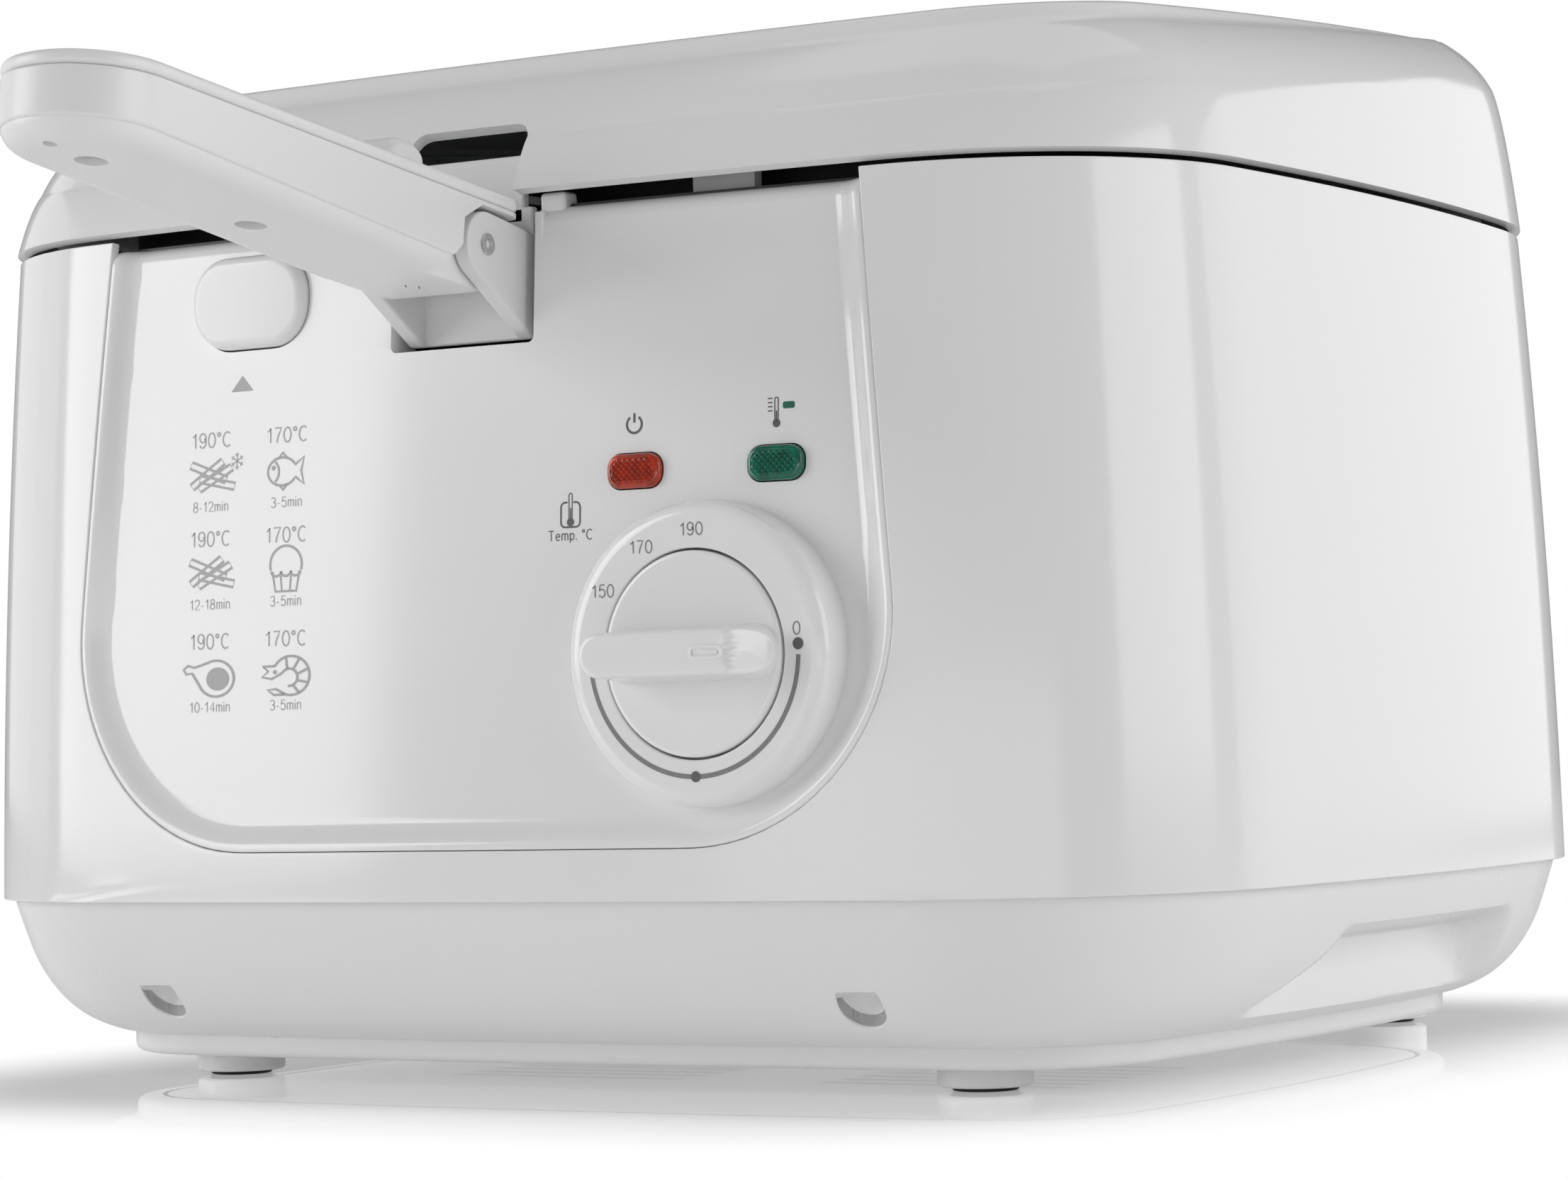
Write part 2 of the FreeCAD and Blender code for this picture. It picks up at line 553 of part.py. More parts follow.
def circles_meet(first, first_radius, second, second_radius):
    """Both points where two circles cross."""
    gap = second - first
    distance = gap.Length
    along = (first_radius ** 2 - second_radius ** 2 + distance ** 2) / (2 * distance)
    across = math.sqrt(first_radius ** 2 - along ** 2)
    middle = first + gap * (along / distance)
    side = Vector(gap.y, -gap.x, 0) * (across / distance)
    return middle + side, middle - side


def outline(name, inset, z, slope=None):
    """Housing outline of eight tangent arcs, drawn in by an inset, level or rising to the back."""
    sketch = doc.addObject("Sketcher::SketchObject", name)
    sketch.addProperty("App::PropertyFloat", "Inset")
    bind(sketch, "Inset", inset)
    if slope:
        turn(sketch, Vector(1, 0, 0), f"atan({slope})")
    move(sketch, z=z)
    sketch.recompute()
    front = Vector(0, size("front_radius") - size("front_reach"), 0)
    back = Vector(0, size("back_reach") - size("back_radius"), 0)
    right = Vector(size("half_width") - size("side_radius"), -size("widest_station"), 0)
    corners = []
    for end, end_size, corner_size in ((front, "front_radius", "front_corner"),
                                       (back, "back_radius", "back_corner")):
        reach = size(end_size) - size(corner_size)
        meets = circles_meet(end, reach, right, size("side_radius") - size(corner_size))
        corners.append(max(meets, key=lambda point: point.x))
    front_corner, back_corner = corners

    def bearing(start, point):
        return math.atan2(point.y - start.y, point.x - start.x)

    def mirrored(point):
        return Vector(-point.x, point.y, 0)

    low, high = bearing(right, front_corner), bearing(right, back_corner)
    back_end, front_end = bearing(back, back_corner), bearing(front, front_corner)
    half = math.pi
    arcs = [
        (right, "side_radius", low, high),
        (back_corner, "back_corner", high, back_end),
        (back, "back_radius", back_end, half - back_end),
        (mirrored(back_corner), "back_corner", half - back_end, half - high),
        (mirrored(right), "side_radius", half - high, half - low),
        (mirrored(front_corner), "front_corner", half - low, half - front_end),
        (front, "front_radius", half - front_end, 2 * half + front_end),
        (front_corner, "front_corner", front_end, low),
    ]
    for centre, radius, start, end in arcs:
        circle = Part.Circle(centre, Vector(0, 0, 1), size(radius) - sketch.Inset)
        sketch.addGeometry(Part.ArcOfCircle(circle, start, end))
    for number in range(len(arcs)):
        sketch.addConstraint(Sketcher.Constraint("Tangent", number, 2, (number + 1) % len(arcs), 1))
    for number, (centre, radius, start, end) in enumerate(arcs):
        place = sketch.addConstraint(Sketcher.Constraint("Radius", number, size(radius) - sketch.Inset))
        sketch.setExpression(f"Constraints[{place}]", f"{formula(radius)} - Inset")
    centres = {0: ("half_width - side_radius", "-widest_station"),
               2: (None, "back_reach - back_radius"),
               4: ("side_radius - half_width", "-widest_station"),
               6: (None, "front_radius - front_reach")}
    for number, (x, y) in centres.items():
        centre = arcs[number][0]
        if x:
            place = sketch.addConstraint(Sketcher.Constraint("DistanceX", -1, 1, number, 3, centre.x))
            bind(sketch, f"Constraints[{place}]", x)
        else:
            sketch.addConstraint(Sketcher.Constraint("PointOnObject", number, 3, -2))
        place = sketch.addConstraint(Sketcher.Constraint("DistanceY", -1, 1, number, 3, centre.y))
        bind(sketch, f"Constraints[{place}]", y)
    return sketch


def loft(name, *sections):
    """Solid through outlines given as (inset, z) or (inset, z, slope)."""
    solid = doc.addObject("Part::Loft", name)
    solid.Sections = [outline(f"{name}_{number}", *section) for number, section in enumerate(sections)]
    solid.Solid = True
    solid.Ruled = True
    return solid


def upright(name, inset, low, high):
    """Housing outline drawn in by an inset and raised straight up."""
    return loft(name, (inset, low), (inset, high))


def housing(name, inset):
    """Body shell's leaning volume, drawn in by an inset."""
    return loft(name, (inset, "waist_z"), (f"{inset} + shell_lean", "shell_top"))


def polygon(body, plane, points):
    """Closed sketch on a body's origin plane, with each corner tied to two size formulas."""
    sketch = body.newObject("Sketcher::SketchObject", body.Name + "_sketch")
    support = [part for part in body.Origin.OriginFeatures if part.Role == plane][0]
    sketch.AttachmentSupport = (support, [""])
    sketch.MapMode = "FlatFace"
    count = len(points)
    around = [Vector(math.cos(2 * math.pi * k / count), math.sin(2 * math.pi * k / count), 0) * 10
              for k in range(count)]
    for k in range(count):
        sketch.addGeometry(Part.LineSegment(around[k], around[(k + 1) % count]))
    for k in range(count):
        sketch.addConstraint(Sketcher.Constraint("Coincident", k, 2, (k + 1) % count, 1))
    for k, point in enumerate(points):
        for kind, text in zip(("DistanceX", "DistanceY"), point):
            place = sketch.addConstraint(Sketcher.Constraint(kind, -1, 1, k, 1, 1.0))
            bind(sketch, f"Constraints[{place}]", text)
    return sketch


def prism(name, plane, points, length):
    """Padded polygon; XZ pads towards -Y, YZ towards +X, XY towards +Z."""
    body = doc.addObject("PartDesign::Body", name)
    sketch = polygon(body, plane, points)
    pad = body.newObject("PartDesign::Pad", name + "_pad")
    pad.Profile = sketch
    bind(pad, "Length", length)
    return body


def turned(name, points):
    """Polygon of (radius, height) corners turned about Z."""
    body = doc.addObject("PartDesign::Body", name)
    sketch = polygon(body, "XZ_Plane", points)
    spin = body.newObject("PartDesign::Revolution", name + "_spin")
    spin.Profile = sketch
    spin.ReferenceAxis = (sketch, ["V_Axis"])
    spin.Angle = 360
    return body


def node(name, thing):
    """Name a finished sub-part and move it from the housing's middle to the part's origin."""
    thing.Label = name
    bind(thing, "Placement.Base.y", f"{depth_of.get(thing.Name, '0')} + {ORIGIN_SHIFT}")
    nodes[name] = thing
    return thing


# Base casing
def make_base():
    block = loft("base_block", ("base_foot_inset", "base_floor_z"), ("base_rim_inset", "ledge_z"))
    outer = rounded("base_outer", block, size("base_round"),
                    lambda edge: edge.BoundBox.ZMax < size("base_floor_z") + 0.01)
    hollow = loft("base_hollow", ("base_foot_inset + wall", "base_floor_z + wall"),
                  ("base_rim_inset + wall", "ledge_z + cut_margin"))
    inner = rounded("base_inner", hollow, size("base_round") - size("wall"),
                    lambda edge: edge.BoundBox.ZMax < size("base_floor_z") + size("wall") + 0.01)

    def scoop(label, sign, margin):
        inside, outside = "half_width - grip_depth", "half_width + far_margin"
        span = (f"{sign}({outside})", f"{sign}({inside} - {margin})")
        span = span if sign else span[::-1]
        block = box(f"scoop_{label}_{margin}_block", span,
                    (f"-grip_front - {margin}", f"grip_back + {margin}"),
                    (f"grip_low - {margin}", f"grip_high + {margin}"))
        return rounded(f"scoop_{label}_{margin}", block, size("grip_round"),
                       lambda edge: is_along(edge, Vector(1, 0, 0)))

    def at_screws(stem, radius, low, high):
        rods = []
        for end in ("front", "back"):
            y = "-screw_y_front" if end == "front" else "screw_y_back"
            for label, sign in (("right", ""), ("left", "-")):
                rods.append(rod(f"{stem}_{end}_{label}", "Z", radius, (low, high),
                                (f"{sign}screw_x_{end}", y)))
        return rods

    bosses = at_screws("boss", "screw_well_radius + wall", "base_floor_z", "ledge_z + 2*cut_margin")
    backing = [scoop("right", "", "wall"), scoop("left", "-", "wall")]
    hollow_left = cut("base_hollow_left", inner, *bosses, *backing)
    opening = slab("base_opening", "floor_opening_half_x", "floor_opening_half_y",
                   size("floor_opening_corner"),
                   ("base_floor_z - cut_margin", "base_floor_z + wall + cut_margin"))
    wells = at_screws("well", "screw_well_radius", "0", "screw_seat_z")
    holes = at_screws("screw_hole", "screw_radius + running_fit", "screw_seat_z - cut_margin",
                      "ledge_z + cut_margin")
    gland_hole = rod("gland_hole", "Y", "gland_radius + running_fit", GLAND_SPAN, GLAND_AXIS)
    scoops = [scoop("right", "", "0"), scoop("left", "-", "0")]
    node("base_casing",
         cut("base_casing", outer, hollow_left, opening, gland_hole, *wells, *holes, *scoops))

    heads = at_screws("head", "screw_head_radius", "screw_seat_z - screw_head", "screw_seat_z")
    shanks = at_screws("shank", "screw_radius", "screw_seat_z", "ledge_z + wall")
    node("housing_screws", fuse("housing_screws", *heads, *shanks))
    return outer, at_screws


base_outer, at_screws = make_base()


# Bottom cover with vent slots, feet and rubber pads
def make_underside():
    plinth = upright("plinth", "plinth_inset", "plinth_z", "base_floor_z")
    tray = upright("plinth_tray", "plinth_inset + wall", "plinth_z + cover_plate",
                   "base_floor_z + cut_margin")
    slots = []
    for label, sign in (("right", ""), ("left", "-")):
        for step in range(-3, 4):
            middle = f"{step}*vent_pitch"
            slots.append(box(f"vent_{label}_{step + 3}",
                             (f"{sign}vent_x - vent_length/2", f"{sign}vent_x + vent_length/2"),
                             (f"{middle} - vent_width/2", f"{middle} + vent_width/2"),
                             ("plinth_z - cut_margin", "plinth_z + cover_plate + cut_margin")))
    node("bottom_cover", cut("bottom_cover", plinth, tray, *slots))

    front, back, pads = [], [], []
    for label, sign in (("right", ""), ("left", "-")):
        x = f"{sign}foot_x"
        front.append(rod(f"foot_front_{label}", "Z", "foot_radius", ("pad_height", "plinth_z"),
                         (x, "-foot_front")))
        back.append(rod(f"foot_back_{label}", "Z", "foot_radius", ("pad_height", "screw_seat_z"),
                        (x, "foot_back")))
        pads.append(rod(f"pad_front_{label}", "Z", "pad_radius", ("0", "pad_height"), (x, "-foot_front")))
        pads.append(rod(f"pad_back_{label}", "Z", "pad_radius", ("0", "pad_height"), (x, "foot_back")))
    trimmed = [cut(f"foot_trim_{number}", foot, base_outer, plinth) for number, foot in enumerate(back)]
    node("feet", fuse("feet", *front, *trimmed))
    node("foot_pads", fuse("foot_pads", *pads))

    ends = ("back_reach - gland_inner", "back_reach - gland_outer")
    body = rod("gland_body", "Y", "gland_radius", ends, GLAND_AXIS)
    collar = ("back_reach - collar_inner", "back_reach - collar_outer")
    flange = rod("gland_collar", "Y", "gland_flange", collar, GLAND_AXIS)
    bore = rod("gland_bore_tool", "Y", "gland_bore", GLAND_SPAN, GLAND_AXIS)
    node("cord_gland", cut("cord_gland", fuse("gland_solid", body, flange), bore, base_outer_hole()))


def base_outer_hole():
    """Base volume round the gland, with the gland's own hole left open."""
    hole = rod("gland_keep", "Y", "gland_radius + running_fit", GLAND_SPAN, GLAND_AXIS)
    return cut("gland_trim", base_outer, hole)


make_underside()


def panel_block(name, grow, top, low_grow=None):
    """Block with the front panel's rounded trapezium face, grown by signed size aliases."""
    low_grow = low_grow or grow
    low_z = f"panel_low_z - ({low_grow})"
    points = [(f"-(panel_top_half + {grow})", top), (f"-(panel_low_half + {grow})", low_z),
              (f"panel_low_half + {grow}", low_z), (f"panel_top_half + {grow}", top)]
    block = prism(name + "_block", "XZ_Plane", points, "front_reach + far_margin - panel_depth")
    move(block, y="-panel_depth")
    growth = 0 if grow == "0" else -size(grow[1:]) if grow[0] == "-" else size(grow)
    return rounded(name, block, size("panel_corner") + growth,
                   lambda edge: is_along(edge, Vector(0, 1, 0)) and edge.BoundBox.ZMax < size("lamp_z"))


def shell_lugs():
    """Hinge lugs at the back of the body shell, with their pin bores."""
    root, back = "back_reach - shell_lean - wall/2", "hinge_y + knuckle_radius"
    front = "hinge_y - knuckle_radius"
    points = [(root, "lug_low_z"), (f"{root} + wall/2", "lug_low_z"), (back, f"{FRAME_TOP} - lug_face"),
              (back, "hinge_z"), (front, "hinge_z"), (front, FRAME_TOP), (root, FRAME_TOP)]
    inner = "knuckle_half + lug_gap"
    lugs = []
    for label, sign in (("right", ""), ("left", "-")):
        web = prism(f"lug_web_{label}", "YZ_Plane", points, "lug_width")
        x = inner if not sign else f"-({inner}) - lug_width"
        move(web, x=x)
        lugs += [web,
                 rod(f"lug_round_{label}", "X", "knuckle_radius", (x, f"{x} + lug_width"),
                     ("hinge_y", "hinge_z"))]
    return lugs


# Body shell with ledge, flange and hinge lugs
def make_shell():
    outer = housing("shell_outer", "0")
    low = upright("shell_low", "wall", "waist_z - cut_margin", "ledge_z")
    ledge = upright("shell_ledge", "ledge_inset", "ledge_z - cut_margin", "ledge_z + wall + cut_margin")
    flange_low = f"{FLANGE_TOP} - wall"
    high = loft("shell_high", (f"wall + {lean_at('ledge_z + wall')}", "ledge_z + wall"),
                (f"wall + {lean_at(flange_low)}", flange_low))
    flange = upright("shell_flange", "flange_inset", f"{flange_low} - cut_margin",
                     f"{FLANGE_TOP} + cut_margin")
    top = upright("shell_top_cut", f"wall + {lean_at('shell_top')}", FLANGE_TOP, ABOVE_SHELL)
    front = panel_block("shell_front", "0", ABOVE_SHELL)
    holes = at_screws("shell_screw", "screw_radius + running_fit", "ledge_z - cut_margin",
                      "ledge_z + wall + cut_margin")
    shell = cut("shell_hollow", outer, low, ledge, high, flange, top, front, *holes)
    bore = rod("lug_bore", "X", "hinge_pin_radius", ("-half_width", "half_width"), ("hinge_y", "hinge_z"))
    node("body_shell", cut("body_shell", fuse("shell_solid", shell, *shell_lugs()), bore))


make_shell()


def panel_y(x, z, inset):
    """Formula for the panel surface's y at a place, drawn in by an inset."""
    return f"(-front_reach + {inset} + {lean_at(z)} + ({x})^2/(2*front_radius))"


# Front panel with its recessed field, notch and openings
def make_panel():
    back = "panel_recess + panel_thick"
    border = cut("panel_skin", housing("panel_border_outer", "panel_flush"), housing("panel_back", back))
    face = common("panel_face", border,
                  panel_block("panel_outline", "-seam", "shell_top - panel_top_drop"))
    lap_skin = cut("panel_lap_skin", housing("panel_lap_outer", "wall + clearance"),
                   housing("panel_lap_back", back))
    lap = common("panel_lap_part", lap_skin,
                 panel_block("panel_lap_outline", "panel_lap", "panel_lap_top", "panel_lap_low"))
    field_skin = cut("panel_field_skin", housing("panel_field_outer", "-cut_margin"),
                     housing("panel_field_face", "panel_recess"))
    field = common("panel_field", field_skin,
                   panel_block("panel_field_outline", "-panel_border", ABOVE_SHELL))
    root = "-front_reach + shell_lean + panel_recess"
    behind = (root, "-notch_back")
    walls = []
    for label, sign in (("right", ""), ("left", "-")):
        spans = [("notch_half", "notch_half + notch_wall"), ("notch_half", "notch_half + post_width")]
        spans = spans if not sign else [(f"-({high})", f"-{low}") for low, high in spans]
        walls.append(box(f"notch_wall_{label}", spans[0], behind, ("notch_z - notch_wall", "post_top")))
        walls.append(box(f"notch_post_{label}", spans[1], behind, ("post_top - post_width", "post_top")))
    floor = box("notch_floor", ("-notch_half - notch_wall", "notch_half + notch_wall"), behind,
                ("notch_z - notch_wall", "notch_z"))
    boss = rod("thermostat_boss_rod", "Y", "thermostat_boss",
               (panel_y("knob_x", "knob_z", "panel_recess + panel_thick/2"), "-thermostat_front"),
               ("knob_x", "knob_z"))
    solid = fuse("panel_solid", cut("panel_recessed", fuse("panel_blank", face, lap), field), *walls,
                 floor, boss)

    through = (FAR_FRONT, "-panel_depth")
    notch = box("panel_notch", ("-notch_half", "notch_half"), through, ("notch_z", ABOVE_SHELL))
    spindle = rod("panel_spindle_hole", "Y", "spindle_hole", through, ("knob_x", "knob_z"))
    button = face_block("panel_button_hole", "-button_x", "button_z", "button_width + 2*clearance",
                        "button_height + 2*clearance", "button_corner", through)
    lamps = [face_block(f"panel_lamp_{label}", f"lamp_x_{label}", "lamp_z", "lamp_width + 2*lamp_gap",
                        "lamp_height + 2*lamp_gap", "lamp_corner",
                        through) for label in ("left", "right")]
    node("front_panel", cut("front_panel", solid, notch, spindle, button, *lamps))


def face_block(name, x, z, width, height, corner, y):
    """Block through the front, with its four edges along Y rounded."""
    block = box(name + "_block", (f"{x} - ({width})/2", f"{x} + ({width})/2"), y,
                (f"{z} - ({height})/2", f"{z} + ({height})/2"))
    return rounded(name, block, size(corner), lambda edge: is_along(edge, Vector(0, 1, 0)))


make_panel()


def face_forward(body, x, z):
    """Turn a body made about +Z so that its axis points to the front."""
    body.Placement = FreeCAD.Placement(Vector(), Rotation(Vector(1, 0, 0), 90))
    move(body, x=x, z=z)


# Dial ring, knob, spindle and thermostat
def make_controls():
    bore = "knob_radius + knob_gap"
    ring = turned("dial_turned", [(bore, "thermostat_front"), ("dial_radius", "thermostat_front"),
                                  ("dial_face_radius", "dial_face"), (bore, "dial_face")])
    face_forward(ring, "knob_x", "knob_z")
    soft = rounded("dial_soft", ring, size("dial_round"),
                   lambda edge: edge.BoundBox.YMax < -size("dial_face") + 0.01
                   and edge.BoundBox.XLength > 2 * size("dial_face_radius") - 1)
    node("dial_ring", cut("dial_ring", soft, housing("dial_seat", "panel_recess - dial_gap")))

    front, back = "-(dial_face + knob_proud)", "-(dial_face + knob_proud - knob_disc)"
    disc = rod("knob_disc_rod", "Y", "knob_radius", (front, back), ("knob_x", "knob_z"))
    foot, top = "-dial_face", "-(dial_face + knob_proud + grip_reach)"
    grip = prism("knob_grip", "XY_Plane",
                 [("knob_x - grip_pointer", foot), ("knob_x - grip_pointer", top),
                  ("knob_x + grip_slope", top), ("knob_x + grip_tail", f"{foot} - grip_tail_height"),
                  ("knob_x + grip_tail", foot)], "2*grip_half")
    move(grip, z="knob_z - grip_half")
    ends = rounded("knob_grip_round", grip, size("grip_half") - size("grip_end_gap"),
                   lambda edge: is_along(edge, Vector(0, 1, 0)))
    start = "knob_x + grip_mark_start"
    mark = box("knob_mark", (start, f"{start} + grip_mark_length"),
               (f"{top} - cut_margin", f"{top} + grip_mark_depth"),
               ("knob_z - grip_mark_width/2", "knob_z + grip_mark_width/2"))
    spindle_front = "-(dial_face + knob_proud + spindle_in_knob)"
    socket = rod("knob_socket", "Y", "spindle_radius", (spindle_front, "0"), ("knob_x", "knob_z"))
    node("temperature_knob", cut("temperature_knob", fuse("knob_solid", disc, ends), mark, socket))

    inner_end = "-(thermostat_front - spindle_depth)"
    spindle = rod("thermostat_spindle", "Y", "spindle_radius",
                  (spindle_front, f"{inner_end} - spindle_end_gap"), ("knob_x", "knob_z"))
    node("thermostat_spindle", spindle)
    case = box("thermostat_case", ("knob_x - thermostat_width/2", "knob_x + thermostat_width/2"),
               ("-thermostat_front", "-(thermostat_front - thermostat_depth)"),
               ("knob_z - thermostat_height/2", "knob_z + thermostat_height/2"))
    bore = rod("thermostat_bore", "Y", "spindle_radius + running_fit",
               ("-thermostat_front - cut_margin", inner_end), ("knob_x", "knob_z"))
    node("thermostat", cut("thermostat", case, bore))


make_controls()


# Pilot lamp lenses and their holders
def make_lamps():
    holders = []
    for label, name in (("left", "power_lamp_lens"), ("right", "ready_lamp_lens")):
        x = f"lamp_x_{label}"
        front = f"{panel_y(x, 'lamp_z', 'panel_recess')} - lamp_proud"
        back = f"{front} + lamp_depth"
        lens = face_block(f"lens_{label}", x, "lamp_z", "lamp_width", "lamp_height", "lamp_corner",
                          (front, back))
        node(name, lens)
        holders.append(box(f"holder_{label}",
                           (f"{x} - lamp_width/2 - holder_margin", f"{x} + lamp_width/2 + holder_margin"),
                           (back, f"{back} + holder_depth"),
                           ("lamp_z - lamp_height/2 - holder_margin",
                            "lamp_z + lamp_height/2 + holder_margin")))
    node("lamp_holders", fuse("lamp_holders", *holders))


make_lamps()


# Release button, latch bar, spring and spring bracket
def make_latch():
    flange_back = "-(button_flange_y - button_flange)"
    cap = face_block("button_cap", "-button_x", "button_z", "button_width", "button_height",
                     "button_corner", ("-button_face", "-button_flange_y"))
    flange = face_block("button_flange_plate", "-button_x", "button_z", "button_width + 2*button_lap",
                        "button_height + 2*button_lap", "button_corner",
                        ("-button_flange_y", flange_back))
    node("release_button", fuse("release_button", cap, flange))

    barb_end = "-(hook_y - hook_thick - barb_reach)"
    bar_front = f"{barb_end} - latch_overlap"
    bar_back = f"{bar_front} + latch_depth"
    low = "hook_low_z + barb_height + latch_gap"
    levels = (low, f"{low} + latch_height")
    left, right = "-button_x - button_width/2 - button_lap", "-button_x + button_width/2 + button_lap"
    bar = box("latch_rail", (left, "hook_x + hook_width/2"), (bar_front, bar_back), levels)
    arms = [box("latch_arm_left", (left, f"{left} + latch_arm"), (flange_back, bar_back), levels),
            box("latch_arm_right", (f"{right} - latch_arm", right), (flange_back, bar_back), levels)]
    node("latch_bar", fuse("latch_bar", bar, *arms))

    seat = box("spring_bracket", ("-button_x - seat_width/2", "-button_x + seat_width/2"),
               ("-spring_seat_y", "-spring_seat_y + wall"), ("seat_low_z", FLANGE_TOP))
    node("spring_bracket", seat)

    gap = size("button_flange_y") - size("button_flange") - size("spring_seat_y")
    length = gap - 2 * size("spring_wire") - 2 * size("clearance")
    helix = Part.makeHelix(length / size("spring_turns"), length, size("spring_radius"))
    wire_end = Part.Wire(Part.makeCircle(size("spring_wire"), Vector(size("spring_radius"), 0, 0),
                                         Vector(0, 1, 0)))
    coil = doc.addObject("Part::Feature", "button_spring")
    coil.Shape = Part.Wire(helix.Edges).makePipeShell([wire_end], True, True)
    coil.Placement = FreeCAD.Placement(Vector(), Rotation(Vector(1, 0, 0), 90))
    move(coil, "-button_x", "-spring_seat_y - spring_wire - clearance", "button_z - spring_drop")
    node("button_spring", coil)


make_latch()


# Top frame and removable oil bowl
def make_bowl():
    def pot(name, shrink, low, high):
        block = slab(name + "_slab", f"bowl_half_x - {shrink}", f"bowl_half_y - {shrink}",
                     size("bowl_corner") - (size("bowl_wall") if shrink != "0" else 0), (low, high),
                     "bowl_y")
        doc.recompute()
        floor_z = block.Shape.BoundBox.ZMin
        return rounded(name, block, size("bowl_round") - (size("bowl_wall") if shrink != "0" else 0),
                       lambda edge: edge.BoundBox.ZMax < floor_z + 0.01)

    outside = pot("bowl_outside", "0", "bowl_low_z", RIM_TOP)
    inside = pot("bowl_inside", "bowl_wall", "bowl_low_z + bowl_wall", f"{RIM_TOP} + far_margin")
    rim = upright("bowl_rim", "rim_inset", FRAME_TOP, RIM_TOP)
    node("oil_bowl", cut("oil_bowl", fuse("bowl_solid", outside, rim), inside))

    plate = upright("frame_plate", "frame_inset", FLANGE_TOP, FRAME_TOP)
    through = (f"{FLANGE_TOP} - cut_margin", f"{FRAME_TOP} + cut_margin")
    hole = slab("frame_hole", "bowl_half_x + frame_gap", "bowl_half_y + frame_gap", size("bowl_corner"),
                through, "bowl_y")
    wide = "notch_half + post_width + clearance"
    notch = box("frame_notch", (f"-({wide})", wide), (FAR_FRONT, "-notch_back + cut_margin"), through)
    slots = []
    for label, sign in (("right", ""), ("left", "-")):
        middle = f"{sign}hook_x"
        slots.append(box(f"frame_slot_{label}",
                         (f"{middle} - hook_width/2 - hook_room_side",
                          f"{middle} + hook_width/2 + hook_room_side"),
                         ("-hook_y - hook_room_front",
                          "-(hook_y - hook_thick - barb_reach) + hook_room_back"), through))
    panel_room = cut("frame_panel_room", panel_block("frame_front", "clearance", ABOVE_SHELL),
                     housing("frame_behind_panel", "panel_recess + panel_thick + clearance"))
    node("top_frame", cut("top_frame", plate, hole, notch, panel_room, *slots))


make_bowl()


# Heating element, strap, thermal cut-out, sensor, heat shield and terminal block
def make_heating():
    ring = doc.addObject("Part::Torus", "element_ring")
    bind(ring, "Radius1", "element_radius")
    bind(ring, "Radius2", "element_tube")
    move(ring, y="bowl_y", z="bowl_low_z - element_tube")
    ends = [rod(f"element_end_{label}", "Z", "terminal_radius",
                ("terminal_z", "bowl_low_z - element_tube"),
                (f"{sign}terminal_spread", "bowl_y - sqrt(element_radius^2 - terminal_spread^2)"))
            for label, sign in (("right", ""), ("left", "-"))]
    node("heating_element", fuse("heating_element", ring, *ends))

    strap_top = "bowl_low_z - 2*element_tube"
    strap = box("strap_bar", ("-strap_length/2", "strap_length/2"),
                ("bowl_y - strap_width/2", "bowl_y + strap_width/2"),
                (f"{strap_top} - strap_thick", strap_top))
    stud = rod("strap_stud", "Z", "stud_radius", (strap_top, "bowl_low_z"), ("0", "bowl_y"))
    node("element_strap", fuse("element_strap", strap, stud))
    node("thermal_cutout",
         rod("thermal_cutout", "Z", "cutout_radius", ("bowl_low_z - cutout_height", "bowl_low_z"),
             ("0", "bowl_y + cutout_y")))

    bulb = rod("sensor_bulb", "Y", "sensor_radius", ("-sensor_front", "-sensor_front + sensor_length"),
               ("sensor_x", "bowl_low_z - sensor_radius"))
    node("sensor_bulb", bulb)
    capillary = doc.addObject("Part::Feature", "capillary_tube")
    capillary.Shape = bent_tube(capillary_route(), size("capillary_bend"), size("capillary_radius"))
    node("capillary_tube", capillary)

    half_x, half_y = "bowl_half_x + shield_gap + shield_sheet", "bowl_half_y + shield_gap + shield_sheet"
    pan = slab("shield_pan", half_x, half_y, size("bowl_corner"), ("shield_z", "shield_top"), "bowl_y")
    hollow = slab("shield_hollow", "bowl_half_x + shield_gap", "bowl_half_y + shield_gap",
                  size("bowl_corner") - size("shield_sheet"),
                  ("shield_z + shield_sheet", "shield_top + far_margin"), "bowl_y")
    legs = [box(f"shield_leg_{label}_{end}", (f"{sign}leg_x - leg_width/2", f"{sign}leg_x + leg_width/2"),
                (f"bowl_y {end} leg_y - leg_depth/2", f"bowl_y {end} leg_y + leg_depth/2"),
                ("base_floor_z + wall", "shield_z"))
            for label, sign in (("right", ""), ("left", "-")) for end in "+-"]
    node("heat_shield", fuse("heat_shield", cut("shield_open", pan, hollow), *legs))

    node("terminal_block",
         box("terminal_block", ("-block_x - block_length/2", "-block_x + block_length/2"),
             ("block_y - block_width/2", "block_y + block_width/2"),
             ("base_floor_z + wall", "base_floor_z + wall + block_height")))


def capillary_route():
    """Corners of the capillary from the thermostat, over the heat shield and down under the bowl."""
    x = size("sensor_x")
    high = size("knob_z") + size("capillary_rise")
    low = size("bowl_low_z") - size("sensor_radius")
    gap_y = size("bowl_y") - size("bowl_half_y") - size("shield_gap") / 2
    return [Vector(x, -size("thermostat_front") + size("thermostat_depth"), high), Vector(x, gap_y, high),
            Vector(x, gap_y, low), Vector(x, -size("sensor_front"), low)]


